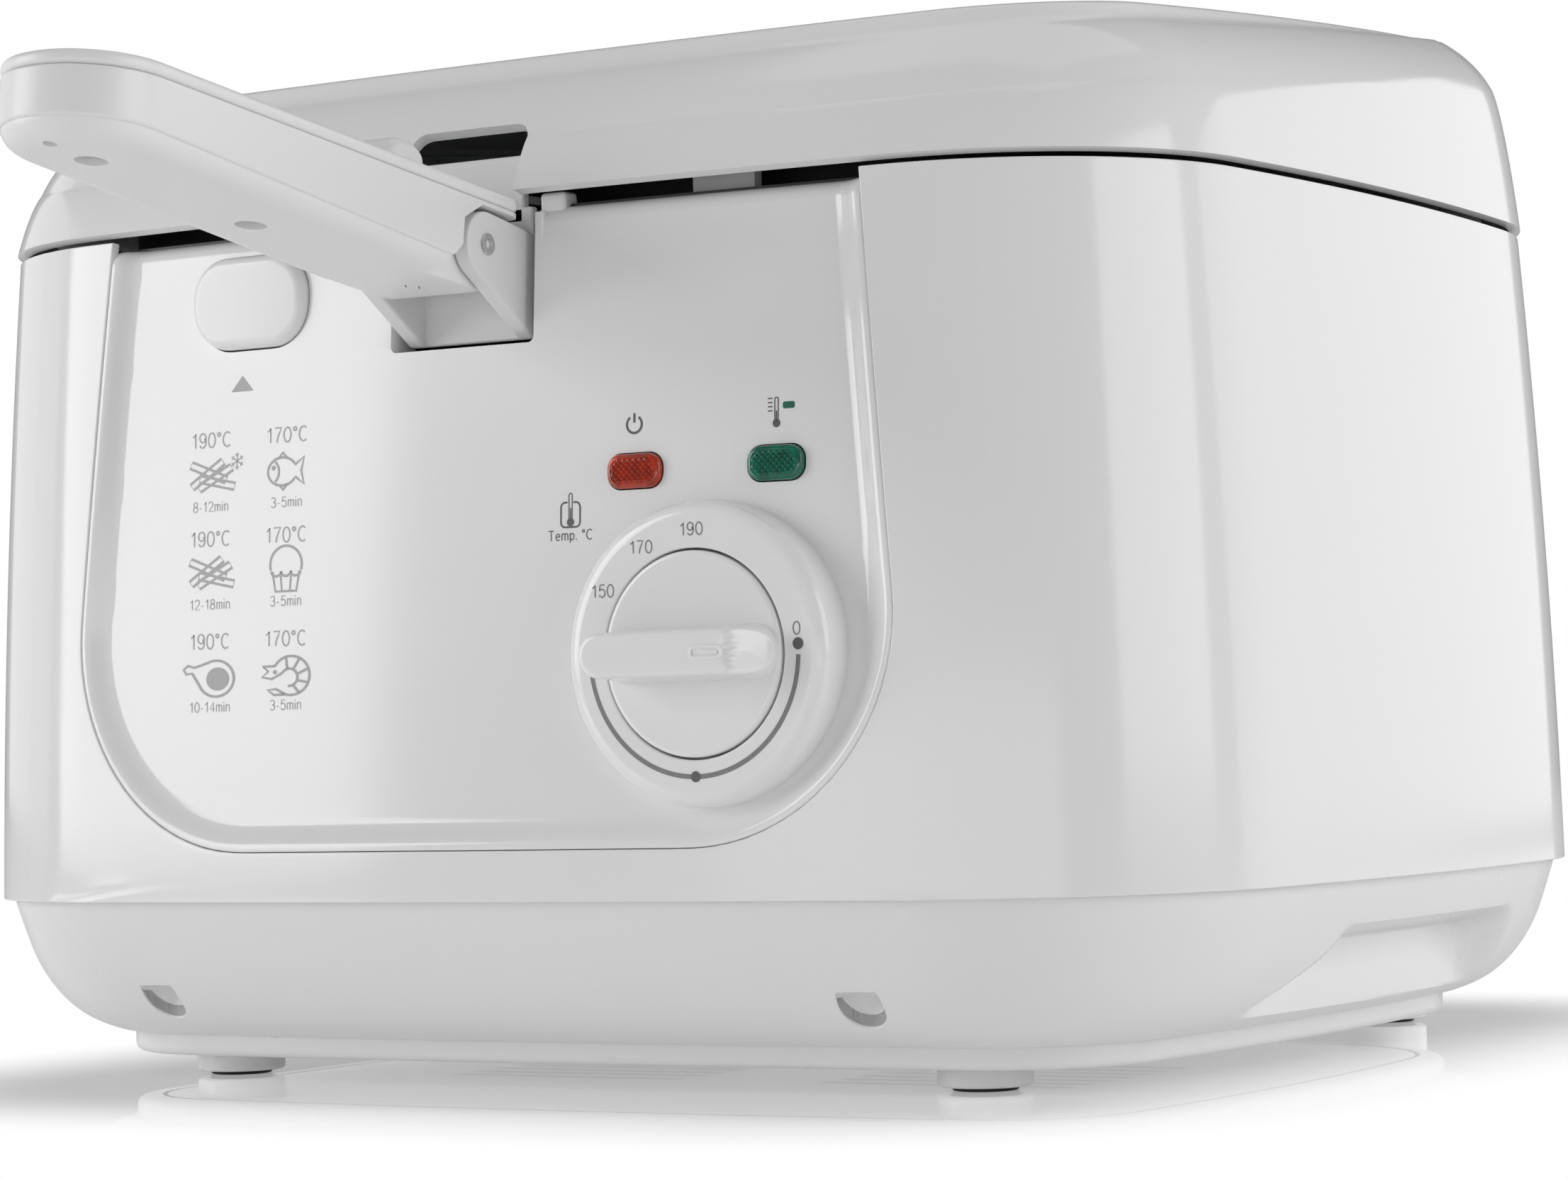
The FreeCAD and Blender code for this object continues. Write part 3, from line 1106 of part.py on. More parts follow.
def bent_tube(corners, bend, radius):
    """Round tube of straight runs joined by tangent arcs."""
    edges, start = [], corners[0]
    for before, corner, after in zip(corners, corners[1:], corners[2:]):
        inward, onward = (before - corner).normalize(), (after - corner).normalize()
        half_turn = inward.getAngle(onward) / 2
        reach = bend / math.tan(half_turn)
        first, last = corner + inward * reach, corner + onward * reach
        middle = corner + (inward + onward).normalize() * (bend / math.sin(half_turn) - bend)
        edges += [Part.LineSegment(start, first).toShape(), Part.Arc(first, middle, last).toShape()]
        start = last
    edges.append(Part.LineSegment(start, corners[-1]).toShape())
    ring = Part.Wire(Part.makeCircle(radius, corners[0], corners[1] - corners[0]))
    return Part.Wire(edges).makePipeShell([ring], True, False)


make_heating()


# Frying basket and the bracket that carries the handle
def make_basket():
    outside = slab("basket_outside", "basket_half_x", "basket_half_y", size("basket_corner"),
                   ("basket_low_z", "basket_top_z"), "bowl_y")
    rim = slab("basket_rim_slab", "basket_half_x + basket_rim", "basket_half_y + basket_rim",
               size("basket_corner"), ("basket_top_z - basket_rim", "basket_top_z"), "bowl_y")
    inside = slab("basket_inside", "basket_half_x - basket_wall", "basket_half_y - basket_wall",
                  size("basket_corner") - size("basket_wall"),
                  ("basket_low_z + basket_wall", "basket_top_z + far_margin"), "bowl_y")
    side = ("basket_low_z + basket_band", "basket_top_z - basket_rim - basket_band")
    floor = ("basket_low_z - cut_margin", "basket_low_z + basket_wall + cut_margin")
    slots = []

    def count(half):
        return int((size(half) - size("basket_corner")) // size("basket_pitch"))

    for step in range(-count("basket_half_x"), count("basket_half_x") + 1):
        x = (f"{step}*basket_pitch - basket_slot/2", f"{step}*basket_pitch + basket_slot/2")
        through = ("bowl_y - basket_half_y - cut_margin", "bowl_y + basket_half_y + cut_margin")
        length = ("bowl_y - basket_half_y + basket_band", "bowl_y + basket_half_y - basket_band")
        slots += [box(f"basket_slot_x{step}", x, through, side),
                  box(f"basket_slot_f{step}", x, length, floor)]
    for step in range(-count("basket_half_y"), count("basket_half_y") + 1):
        y = (f"bowl_y + {step}*basket_pitch - basket_slot/2",
             f"bowl_y + {step}*basket_pitch + basket_slot/2")
        slots.append(box(f"basket_slot_y{step}",
                         ("-basket_half_x - cut_margin", "basket_half_x + cut_margin"), y, side))
    node("basket", cut("basket", fuse("basket_solid", outside, rim), inside, *slots))


def make_bracket():
    deep = ("-plate_y", "-(plate_y - plate_thick)")
    plate = box("bracket_plate", ("-plate_half", "plate_half"), deep, ("plate_low_z", "plate_neck_z"))
    neck = box("bracket_neck", ("-plate_neck_half", "plate_neck_half"), deep,
               ("plate_neck_z - cut_margin", "plate_top_z"))
    arm_low = f"{RIM_TOP} + arm_lift"
    end = "bowl_y - basket_half_y - basket_rim"
    arm = box("bracket_arm", ("-arm_half", "arm_half"),
              ("-(plate_y - plate_thick/2)", f"{end} + heel_lap"),
              (arm_low, f"{arm_low} + arm_thick"))
    heel = box("bracket_heel", ("-arm_half", "arm_half"), (f"{end} - heel_front", f"{end} + heel_lap"),
               ("basket_top_z", f"{arm_low} + arm_thick/2"))
    root = "-(plate_y - plate_thick/2)"
    ear = [("-pin_y - ear_lead", "pin_z + ear_rise"), (root, "pin_z + ear_root_rise"),
           (root, "plate_low_z"), ("-plate_y - ear_foot", "plate_low_z"),
           ("-pin_y - ear_chin_lead", "pin_z - ear_chin_drop")]
    ears = []
    for label, x in (("right", "ear_inner"), ("left", "-plate_half")):
        web = prism(f"ear_web_{label}", "YZ_Plane", ear, "plate_half - ear_inner")
        move(web, x=x)
        ears += [web, rod(f"ear_boss_{label}", "X", "ear_boss", (x, f"{x} + plate_half - ear_inner"),
                          ("-pin_y", "pin_z"))]
    bore = rod("ear_bore", "X", "pin_radius", ("-half_width", "half_width"), ("-pin_y", "pin_z"))
    node("basket_bracket",
         cut("basket_bracket", fuse("bracket_solid", plate, neck, arm, heel, *ears), bore))
    node("handle_pin",
         rod("handle_pin", "X", "pin_radius", ("-pin_reach", "pin_reach"), ("-pin_y", "pin_z")))


make_basket()
make_bracket()


# Folding handle, drawn level about its pin with the tip towards -Y and then tilted
def tilt_handle(thing):
    turn(thing, Vector(1, 0, 0), "-handle_tilt")
    move(thing, y="-pin_y", z="pin_z")
    return thing


def handle_plan(name, low, high):
    """Handle outline seen from above, with a round tip."""
    bar = box(name + "_bar", ("-handle_half", "handle_half"),
              ("-(handle_length - handle_half)", "handle_heel"), (low, high))
    tip = rod(name + "_tip", "Z", "handle_half", (low, high), ("0", "-(handle_length - handle_half)"))
    return fuse(name, bar, tip)


def make_handle():
    profile = [("handle_heel", "handle_split"), ("-handle_length - cut_margin", "handle_split"),
               ("-handle_length - cut_margin", "-handle_tip_belly"), ("-belly_reach", "-handle_belly"),
               ("handle_heel - heel_bevel", "-handle_belly"),
               ("handle_heel", "-handle_belly + heel_bevel")]
    side = prism("handle_side", "YZ_Plane", profile, "2*handle_half")
    move(side, x="-handle_half")
    shape = common("handle_shape", side,
                   handle_plan("handle_outline", "-handle_belly - cut_margin", "handle_split"))
    soft = rounded("handle_soft", shape, size("handle_round"), is_lower_edge)
    pocket = [("pocket_back", "pocket_rise"), ("-pocket_lead", "pocket_rise"),
              ("-pocket_front", "pocket_shoulder"), ("-pocket_front", "-pocket_knee"),
              ("-pocket_mouth", "-pocket_drop"), ("pocket_back", "-pocket_drop")]
    pockets = []
    for label, x in (("right", "ear_inner - clearance"),
                     ("left", "-(ear_inner - clearance) - handle_half")):
        space = prism(f"handle_pocket_{label}", "YZ_Plane", pocket, "handle_half")
        move(space, x=x)
        pockets.append(space)
    bore = rod("handle_bore", "X", "pin_radius + running_fit",
               ("-handle_half - cut_margin", "handle_half + cut_margin"), ("0", "0"))
    seat = "-handle_tip_belly + small_head + handle_screw_cover"
    wells, holes, pilots, heads, shanks = [], [], [], [], []
    for end in ("near", "far"):
        at = ("0", f"-handle_screw_{end}")
        wells.append(rod(f"handle_well_{end}", "Z", "small_head_radius + clearance",
                         ("-handle_belly - cut_margin", seat), at))
        holes.append(rod(f"handle_hole_{end}", "Z", "small_screw_radius + running_fit",
                         (seat, "handle_split + cut_margin"), at))
        pilots.append(rod(f"handle_pilot_{end}", "Z", "small_screw_radius",
                          ("handle_split - cut_margin", "handle_split + handle_cover_thick/2"), at))
        heads.append(rod(f"handle_head_{end}", "Z", "small_head_radius", (f"{seat} - small_head", seat),
                         at))
        shanks.append(rod(f"handle_shank_{end}", "Z", "small_screw_radius",
                          (seat, "handle_split + handle_cover_thick/2"), at))
    stem_room = box("lock_room", ("-lock_stem - clearance", "lock_stem + clearance"),
                    ("-(lock_near + lock_length)", "-lock_near"),
                    ("handle_split - lock_room", "handle_split + cut_margin"))
    body = cut("handle_body", soft, bore, stem_room, *pockets, *wells, *holes)
    node("handle_body", tilt_handle(body))
    node("handle_screws", tilt_handle(fuse("handle_screws", *heads, *shanks)))

    top = "handle_split + handle_cover_thick"
    lid = handle_plan("cover_plan", "handle_split", top)
    soft_lid = rounded("cover_soft", lid, size("cover_round"),
                       lambda edge: edge.BoundBox.ZMin > size("handle_split") + size("cover_round"))
    slot = box("lock_slot", ("-lock_stem - clearance", "lock_stem + clearance"),
               ("-(lock_near + lock_length)", "-lock_near"),
               ("handle_split - cut_margin", f"{top} + cut_margin"))
    node("handle_cover", tilt_handle(cut("handle_cover", soft_lid, slot, *pilots)))

    near, far = "-lock_near", "-(lock_near + lock_length)"
    tab = prism("lock_tab", "YZ_Plane",
                [(near, f"{top} + clearance"), (f"{near} - lock_ramp", f"{top} + lock_height"),
                 (f"{far} + lock_crest", f"{top} + lock_height"), (far, f"{top} + lock_height/2"),
                 (far, f"{top} + clearance")], "2*lock_half")
    move(tab, x="-lock_half")
    stem = box("lock_stem_block", ("-lock_stem", "lock_stem"),
               (f"{far} + lock_travel + lock_end_gap", f"{near} - clearance"),
               ("handle_split - lock_room + clearance", f"{top} + lock_height/2"))
    node("handle_lock", tilt_handle(fuse("handle_lock", tab, stem)))


def is_lower_edge(edge):
    """Edges round the underside of the handle, apart from those across it."""
    middle = edge.valueAt((edge.FirstParameter + edge.LastParameter) / 2)
    below = middle.z < -size("handle_tip_belly") + size("belly_band")
    across = is_along(edge, Vector(1, 0, 0))
    return below and not across and edge.Length > size("handle_round")


make_handle()


# Lid
def make_lid():
    crease = "crease_z"
    outer = loft("lid_outer", ("lid_inset", "lid_z"),
                 ("shoulder_inset", f"{crease} - shoulder_drop", "crease_slope"),
                 ("turn_inset", f"{crease} - turn_drop", "crease_slope"),
                 ("crease_inset", crease, "crease_slope"),
                 ("top_inset", "top_z", "top_slope"))
    hollow = loft("lid_hollow", ("lid_inset + lid_wall", "lid_z - cut_margin"),
                  ("cavity_inset", f"{crease} - cavity_drop", "crease_slope"),
                  ("top_inset", "top_z - top_thick", "top_slope"))
    web = box("knuckle_web", ("-knuckle_half", "knuckle_half"),
              ("back_reach - lid_inset - lid_wall", "hinge_y"),
              ("lid_z + lug_gap", "hinge_z + knuckle_radius - lug_gap"))
    knuckle = rod("knuckle", "X", "knuckle_radius", ("-knuckle_half", "knuckle_half"),
                  ("hinge_y", "hinge_z"))
    bosses, pilots, heads, shanks = [], [], [], []
    low = "liner_z + liner_thick"
    for end, y in (("front", "-boss_front"), ("back", "boss_back")):
        for label, sign in (("right", ""), ("left", "-")):
            at = (f"{sign}boss_x", y)
            roof = f"top_z - top_thick/2 + top_slope*({y})"
            bosses.append(rod(f"lid_boss_{end}_{label}", "Z", "boss_radius", (low, roof), at))
            pilots.append(rod(f"lid_pilot_{end}_{label}", "Z", "small_screw_radius",
                              ("liner_z", f"{low} + liner_screw_reach + cut_margin"), at))
            heads.append(rod(f"liner_head_{end}_{label}", "Z", "small_head_radius",
                             ("liner_z - small_head", "liner_z"), at))
            shanks.append(rod(f"liner_shank_{end}_{label}", "Z", "small_screw_radius",
                              ("liner_z", f"{low} + liner_screw_reach"), at))
    node("liner_screws", fuse("liner_screws", *heads, *shanks))

    well_out = on_top(slab("filter_well", "filter_half_x - filter_lip + filter_wall",
                           "filter_half_y - filter_lip + filter_wall", size("filter_corner"),
                           ("-top_thick - filter_pad_thick - filter_wall", "-filter_depth"), "filter_y"))
    notch_block = box("lid_notch_block", ("-lid_notch_half", "lid_notch_half"), (FAR_FRONT, BEHIND_PLATE),
                      ("lid_z - far_margin", "lid_notch_top"))
    notch = rounded("lid_notch", notch_block, size("lid_notch_corner"),
                    lambda edge: is_along(edge, Vector(0, 1, 0)) and edge.BoundBox.ZMin > size("lid_z"))
    bore = rod("knuckle_bore", "X", "hinge_pin_radius + running_fit", ("-half_width", "half_width"),
               ("hinge_y", "hinge_z"))
    lip = "window_half_x - window_lip", "window_half_y - window_lip"
    window_seat = on_top(slab("window_seat", "window_half_x + clearance", "window_half_y + clearance",
                              size("window_corner"), ("-window_depth", "far_margin"), "-window_y"))
    window_hole = on_top(slab("window_hole", *lip, size("window_corner") - size("window_lip"),
                              ("-far_margin", "far_margin"), "-window_y"))
    filter_seat = on_top(slab("filter_seat", "filter_half_x + clearance", "filter_half_y + clearance",
                              size("filter_corner"), ("-filter_depth", "far_margin"), "filter_y"))
    pad = ("filter_half_x - filter_lip", "filter_half_y - filter_lip",
           size("filter_corner") - size("filter_wall"))
    filter_room = on_top(slab("filter_room", *pad, ("-top_thick - filter_pad_thick", "far_margin"),
                              "filter_y"))
    filter_vent = on_top(slab("filter_vent", "filter_half_x - 2*filter_lip",
                              "filter_half_y - 2*filter_lip", size("filter_wall"),
                              ("-top_thick - filter_pad_thick - far_margin", "far_margin"), "filter_y"))
    shell = cut("lid_open", outer, hollow)
    solid = fuse("lid_solid", shell, web, knuckle, well_out, *bosses)
    node("lid_shell",
         cut("lid_shell", solid, notch, bore, window_seat, window_hole, filter_seat, filter_room,
                          filter_vent, *pilots))
    pin_end = "knuckle_half + lug_gap + lug_width + pin_overhang"
    node("hinge_pin", rod("hinge_pin", "X", "hinge_pin_radius",
                          (f"-({pin_end})", pin_end),
                          ("hinge_y", "hinge_z")))

    pane_edge = ("window_half_x", "window_half_y")
    pane = slab("lid_window", *pane_edge, size("window_corner"),
                ("-window_depth + window_seal", "-clearance"), "-window_y")
    node("lid_window", on_top(pane))
    seal_out = slab("window_seal_out", *pane_edge, size("window_corner"),
                    ("-window_depth", "-window_depth + window_seal"),
                    "-window_y")
    seal_in = slab("window_seal_in", *lip, size("window_corner") - size("window_lip"),
                   ("-window_depth - cut_margin", "0"), "-window_y")
    node("window_seal", on_top(cut("window_seal", seal_out, seal_in)))

    filter_pad = slab("filter_pad", f"{pad[0]} - clearance", f"{pad[1]} - clearance", pad[2],
                      ("-top_thick - filter_pad_thick", "-top_thick"), "filter_y")
    node("filter_pad", on_top(filter_pad))
    plate = slab("filter_plate", "filter_half_x", "filter_half_y", size("filter_corner"),
                 ("-filter_depth", "-clearance"),
                 "filter_y")
    count = int((size("filter_half_x") - size("filter_corner")) // size("filter_pitch"))
    slots = [box(f"filter_slot_{step + count}",
                 (f"{step}*filter_pitch - filter_slot/2", f"{step}*filter_pitch + filter_slot/2"),
                 ("filter_y - filter_half_y + filter_lip", "filter_y + filter_half_y - filter_lip"),
                 ("-far_margin", "far_margin"))
             for step in range(-count, count + 1)]
    node("filter_cover", on_top(cut("filter_cover", plate, *slots)))


def on_top(thing):
    """Lay a level piece on the lid's sloping top panel."""
    turn(thing, Vector(1, 0, 0), "atan(top_slope)")
    move(thing, z="top_z")
    return thing


def make_lid_inside():
    sheet_top = "liner_z + liner_thick"
    plate = upright("liner_plate", "liner_inset", "liner_z", sheet_top)
    through = ("liner_z - cut_margin", f"{sheet_top} + cut_margin")
    notch = box("liner_notch", ("-notch_half", "notch_half"), (FAR_FRONT, BEHIND_PLATE), through)
    view = slab("liner_view", "window_half_x - 2*window_lip", "window_half_y - 2*window_lip",
                size("window_corner") / 2,
                through, "-window_y")
    vents = [box(f"liner_vent_{step + 3}",
                 (f"{step}*2*filter_pitch - filter_slot", f"{step}*2*filter_pitch + filter_slot"),
                 ("filter_y - filter_half_y + filter_lip", "filter_y + filter_half_y - filter_lip"),
                 through)
             for step in range(-3, 4)]
    holes = [rod(f"liner_hole_{end}_{label}", "Z", "small_screw_radius + running_fit", through,
                 (f"{sign}boss_x", y))
             for end, y in (("front", "-boss_front"), ("back", "boss_back")) for label,
             sign in (("right", ""), ("left", "-"))]
    node("lid_liner", cut("lid_liner", plate, notch, view, *vents, *holes))

    low = f"{RIM_TOP} + seal_gap"
    band = upright("seal_band", "seal_outer", low, "liner_z")
    middle = upright("seal_middle", "seal_outer + seal_width", f"{low} - cut_margin",
                     "liner_z + cut_margin")
    gap = box("seal_gap_box", ("-arm_half - arm_room", "arm_half + arm_room"), (FAR_FRONT, "0"),
              (f"{low} - cut_margin", "liner_z + cut_margin"))
    node("lid_seal", cut("lid_seal", band, middle, gap))

    hooks = []
    for label, sign in (("right", ""), ("left", "-")):
        x = (f"{sign}hook_x - hook_width/2", f"{sign}hook_x + hook_width/2")
        stem = box(f"hook_stem_{label}", x, ("-hook_y", "-(hook_y - hook_thick)"),
                   ("hook_low_z", "liner_z"))
        barb = box(f"hook_barb_{label}", x,
                   ("-(hook_y - hook_thick/2)", "-(hook_y - hook_thick - barb_reach)"),
                   ("hook_low_z", "hook_low_z + barb_height"))
        hooks += [stem, barb]
    node("lid_hooks", fuse("lid_hooks", *hooks))


make_lid()
make_lid_inside()

# Check every object and write the sub-parts
doc.recompute()
for thing in doc.Objects:
    if "Invalid" in thing.State or "Error" in thing.State:
        raise RuntimeError(f"{thing.Name} did not build: {thing.State}")
for name, thing in nodes.items():
    if thing.Shape.isNull() or not thing.Shape.isValid() or not thing.Shape.Solids:
        raise RuntimeError(f"{name} is not a valid solid")
os.makedirs("parts", exist_ok=True)
for name, thing in nodes.items():
    thing.Shape.exportStep(f"parts/{name}.step")
print(f"{len(nodes)} sub-parts written")
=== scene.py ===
"""Deep fryer dressed for looks: smooth housings, handle, controls, prints and a plain stage."""
import json
import math

import bmesh
import bpy
import numpy as np
from bpy.props import FloatProperty, FloatVectorProperty, PointerProperty
from mathutils import Matrix, Vector, geometry


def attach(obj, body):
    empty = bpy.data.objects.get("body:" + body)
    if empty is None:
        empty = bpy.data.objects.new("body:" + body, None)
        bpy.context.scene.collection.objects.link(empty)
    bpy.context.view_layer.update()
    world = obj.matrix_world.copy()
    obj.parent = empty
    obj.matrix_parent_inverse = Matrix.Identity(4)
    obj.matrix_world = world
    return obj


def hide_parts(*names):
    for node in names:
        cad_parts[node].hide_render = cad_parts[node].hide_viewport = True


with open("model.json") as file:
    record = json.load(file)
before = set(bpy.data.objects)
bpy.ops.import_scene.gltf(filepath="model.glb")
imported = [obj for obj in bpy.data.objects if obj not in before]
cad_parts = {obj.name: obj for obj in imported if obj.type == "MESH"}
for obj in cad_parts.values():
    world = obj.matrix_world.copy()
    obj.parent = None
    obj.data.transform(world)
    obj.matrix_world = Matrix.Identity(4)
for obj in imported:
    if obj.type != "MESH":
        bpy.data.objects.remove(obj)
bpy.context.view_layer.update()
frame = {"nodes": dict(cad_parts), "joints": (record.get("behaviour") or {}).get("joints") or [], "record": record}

bl_info = {
    "name": "Deep fryer",
    "version": (1, 0, 0),
    "blender": (4, 5, 0),
    "location": "View3D > Sidebar > Deep fryer",
    "description": "Builds the visible pieces of a countertop deep fryer around its packed frame",
    "category": "Object",
}

MM = 0.001
JOINTS = {joint["name"]: joint for joint in frame["joints"]}
NODES = frame["nodes"]
HINGE_Y = 156.5
# The sizes below are millimetres from the housing's middle, which lies behind the part's origin
HOUSING_Y = JOINTS["lid_hinge"]["pos_m"][1] / MM - HINGE_Y
TAU = 2 * math.pi

# Plan outline of the housing: eight tangent arcs
FRONT_CENTRE = np.array([0.0, 1425.0 - 155.0])
BACK_CENTRE = np.array([0.0, 155.0 - 1036.0])
SIDE_CENTRE = np.array([175.0 - 900.0, -12.0])
FRONT_RADIUS, BACK_RADIUS, SIDE_RADIUS = 1425.0, 1036.0, 900.0
FRONT_CORNER, BACK_CORNER = 68.0, 87.0

# Levels of the housings
WAIST, SHELL_TOP, LID_LOW = 44.0, 201.0, 203.0
LEAN, BULGE = 7.0, 1.1

# Front panel
PANEL_TOP_HALF, PANEL_LOW_HALF, PANEL_LOW, PANEL_CORNER, CORNER_POINTS = 103.0, 116.0, 55.5, 50.0, 24
PANEL_TOP, PANEL_RECESS = 199.0, 3.0
NOTCH_HALF, NOTCH_OUT, NOTCH_LOW = 19.7, 21.9, 168.7
KNOB_X, KNOB_Z = 65.5, 97.5
DIAL_FACE = 156.0
BUTTON = (-60.2, 183.4, 32.6, 21.6, 9.8)
LAMPS = {"power_lamp_lens": 46.7, "ready_lamp_lens": 82.0}
LAMP_Z, LAMP_WIDTH, LAMP_HEIGHT, LAMP_CORNER = 138.3, 13.9, 7.7, 3.3

# Folding handle, measured from its pin
PIN_Y, PIN_Z = -160.4, 189.6
HANDLE_TILT = math.radians(-7.4)
HANDLE_HALF, HANDLE_TIP, HANDLE_HEEL = 18.5, 133.0, 11.0
HANDLE_SPLIT, HANDLE_TOP = 9.0, 12.2

# Sloping top of the lid
TOP_SLOPE, TOP_Z = math.atan(0.0756), 246.3
CREASE_SLOPE, CREASE_Z = math.atan(0.0989), 243.4
# Half sizes and corner of the window and the filter cover, and their places along the top
WINDOW, WINDOW_Y = (72.0, 40.0, 14.0), -48.0
FILTER, FILTER_Y = (68.0, 30.0, 10.0), 62.0


class FryerSizes(bpy.types.PropertyGroup):
    """Sizes of the moulded details"""
    edge_round: FloatProperty(
        name="Edge rounding", description="Rounding of the moulded edges", default=0.0008, unit="LENGTH")
    shell_wall: FloatProperty(
        name="Shell wall", description="Wall thickness of the housings", default=0.0025, unit="LENGTH")
    mesh_step: FloatProperty(
        name="Mesh step", description="Spacing of the points along the housings", default=0.0045, unit="LENGTH")
    print_lift: FloatProperty(
        name="Print lift", description="Height of the print above its surface", default=0.00006, unit="LENGTH")
    print_line: FloatProperty(
        name="Print line", description="Line width of the printed signs", default=0.0006, unit="LENGTH")


class FryerColours(bpy.types.PropertyGroup):
    """Colours of the finishes"""
    white: FloatVectorProperty(
        name="Gloss white", description="Glossy white housings", default=(0.84, 0.84, 0.84), subtype="COLOR",
        min=0, max=1)
    satin: FloatVectorProperty(
        name="Satin white", description="Base and handle", default=(0.82, 0.82, 0.82), subtype="COLOR",
        min=0, max=1)
    bracket: FloatVectorProperty(
        name="Bracket grey", description="Handle bracket and lid hooks", default=(0.76, 0.76, 0.76),
        subtype="COLOR", min=0, max=1)
    black: FloatVectorProperty(
        name="Black", description="Black plastic and rubber", default=(0.012, 0.012, 0.013), subtype="COLOR",
        min=0, max=1)
    steel: FloatVectorProperty(
        name="Steel", description="Bowl, basket and fasteners", default=(0.6, 0.6, 0.61), subtype="COLOR",
        min=0, max=1)
    red: FloatVectorProperty(
        name="Red lens", description="Power lamp lens", default=(0.34, 0.022, 0.003), subtype="COLOR",
        min=0, max=1)
    green: FloatVectorProperty(
        name="Green lens", description="Ready lamp lens", default=(0.0, 0.12, 0.072), subtype="COLOR",
        min=0, max=1)
    light_print: FloatVectorProperty(
        name="Light print", description="Food guide print", default=(0.42, 0.42, 0.43), subtype="COLOR",
        min=0, max=1)
    middle_print: FloatVectorProperty(
        name="Middle print", description="Dial numbers and arc", default=(0.2, 0.2, 0.205), subtype="COLOR",
        min=0, max=1)
    dark_print: FloatVectorProperty(
        name="Dark print", description="Signs beside the controls", default=(0.1, 0.1, 0.105), subtype="COLOR",
        min=0, max=1)


def sizes():
    return bpy.context.scene.fryer_sizes


def colours():
    return bpy.context.scene.fryer_colours


# Plan outline
def circles_meet(first, first_radius, second, second_radius):
    """Right-hand point where two circles cross."""
    gap = second - first
    distance = np.hypot(*gap)
    forward = (first_radius ** 2 - second_radius ** 2 + distance ** 2) / (2 * distance)
    across = math.sqrt(first_radius ** 2 - forward ** 2)
    side = np.array([gap[1], -gap[0]]) * (across / distance)
    middle = first + gap * (forward / distance)
    return max((middle + side, middle - side), key=lambda point: point[0])


def bearing(start, point):
    """Direction from one 2D point to another."""
    return math.atan2(point[1] - start[1], point[0] - start[0])


def outline_arcs():
    """Centre, radius, first and last bearing of each arc, anticlockwise from the right side."""
    front = circles_meet(FRONT_CENTRE, FRONT_RADIUS - FRONT_CORNER, SIDE_CENTRE, SIDE_RADIUS - FRONT_CORNER)
    back = circles_meet(BACK_CENTRE, BACK_RADIUS - BACK_CORNER, SIDE_CENTRE, SIDE_RADIUS - BACK_CORNER)
    low, high = bearing(SIDE_CENTRE, front), bearing(SIDE_CENTRE, back)
    back_end, front_end = bearing(BACK_CENTRE, back), bearing(FRONT_CENTRE, front)
    flip = np.array([-1.0, 1.0])
    half = math.pi
    return [
        (SIDE_CENTRE, SIDE_RADIUS, low, high),
        (back, BACK_CORNER, high, back_end),
        (BACK_CENTRE, BACK_RADIUS, back_end, half - back_end),
        (back * flip, BACK_CORNER, half - back_end, half - high),
        (SIDE_CENTRE * flip, SIDE_RADIUS, half - high, half - low),
        (front * flip, FRONT_CORNER, half - low, half - front_end),
        (FRONT_CENTRE, FRONT_RADIUS, half - front_end, TAU + front_end),
        (front, FRONT_CORNER, TAU + front_end, TAU + low),
    ]


ARCS = outline_arcs()
ARC_ENDS = np.array([arc[3] for arc in ARCS])
ARC_CENTRES = np.array([arc[0] for arc in ARCS])
ARC_RADII = np.array([arc[1] for arc in ARCS])
FIRST_BEARING = ARCS[0][2]


def outline(angle, inset):
    """Point of the outline with this outward bearing, drawn in by an inset."""
    angle = np.asarray(angle, float)
    turned = FIRST_BEARING + np.mod(angle - FIRST_BEARING, TAU)
    number = np.minimum(np.searchsorted(ARC_ENDS, turned), len(ARCS) - 1)
    reach = ARC_RADII[number] - inset
    return np.stack([ARC_CENTRES[number, 0] + reach * np.cos(angle),
                     ARC_CENTRES[number, 1] + reach * np.sin(angle)], axis=-1)


def front_bearing(x, inset):
    """Bearing of the front of the outline at a place across it."""
    x, inset = np.broadcast_arrays(np.asarray(x, float), np.asarray(inset, float))
    low = np.full(x.shape, 1.02 * math.pi)
    high = np.full(x.shape, 1.98 * math.pi)
    for _ in range(44):
        middle = (low + high) / 2
        left = outline(middle, inset)[..., 0] < x
        low = np.where(left, middle, low)
        high = np.where(left, high, middle)
    return (low + high) / 2


def ring_bearings(step):
    """Bearings round the whole outline, evenly spaced along it and closer in the corners."""
    found = []
    for _, radius, start, end in ARCS:
        count = max(3, math.ceil(radius * (end - start) / step), math.ceil((end - start) / math.radians(3.5)))
        found += list(np.linspace(start, end, count, endpoint=False))
    return np.array(found)


def shell_inset(z):
    """How far the body shell leans in at a height."""
    share = (np.asarray(z, float) - WAIST) / (SHELL_TOP - WAIST)
    return LEAN * share - 4 * BULGE * share * (1 - share)


def front_point(x, z, depth=0.0):
    """Point behind the front surface of the body shell."""
    inset = shell_inset(z) + depth
    plan = outline(front_bearing(x, inset), inset)
    return np.concatenate([plan, np.asarray(z, float)[..., None]], axis=-1)


# Meshes
def placed(points):
    """Millimetres from the housing's middle as metres in the part's frame."""
    return (np.asarray(points, float).reshape(-1, 3) + (0, HOUSING_Y, 0)) * MM


def both_sides(near, far):
    """Ends of a piece on the right and of its twin on the left."""
    return (near, far), (-far, -near)


def linked(name, data):
    """New object of this data in the scene."""
    thing = bpy.data.objects.new(name, data)
    bpy.context.scene.collection.objects.link(thing)
    return thing


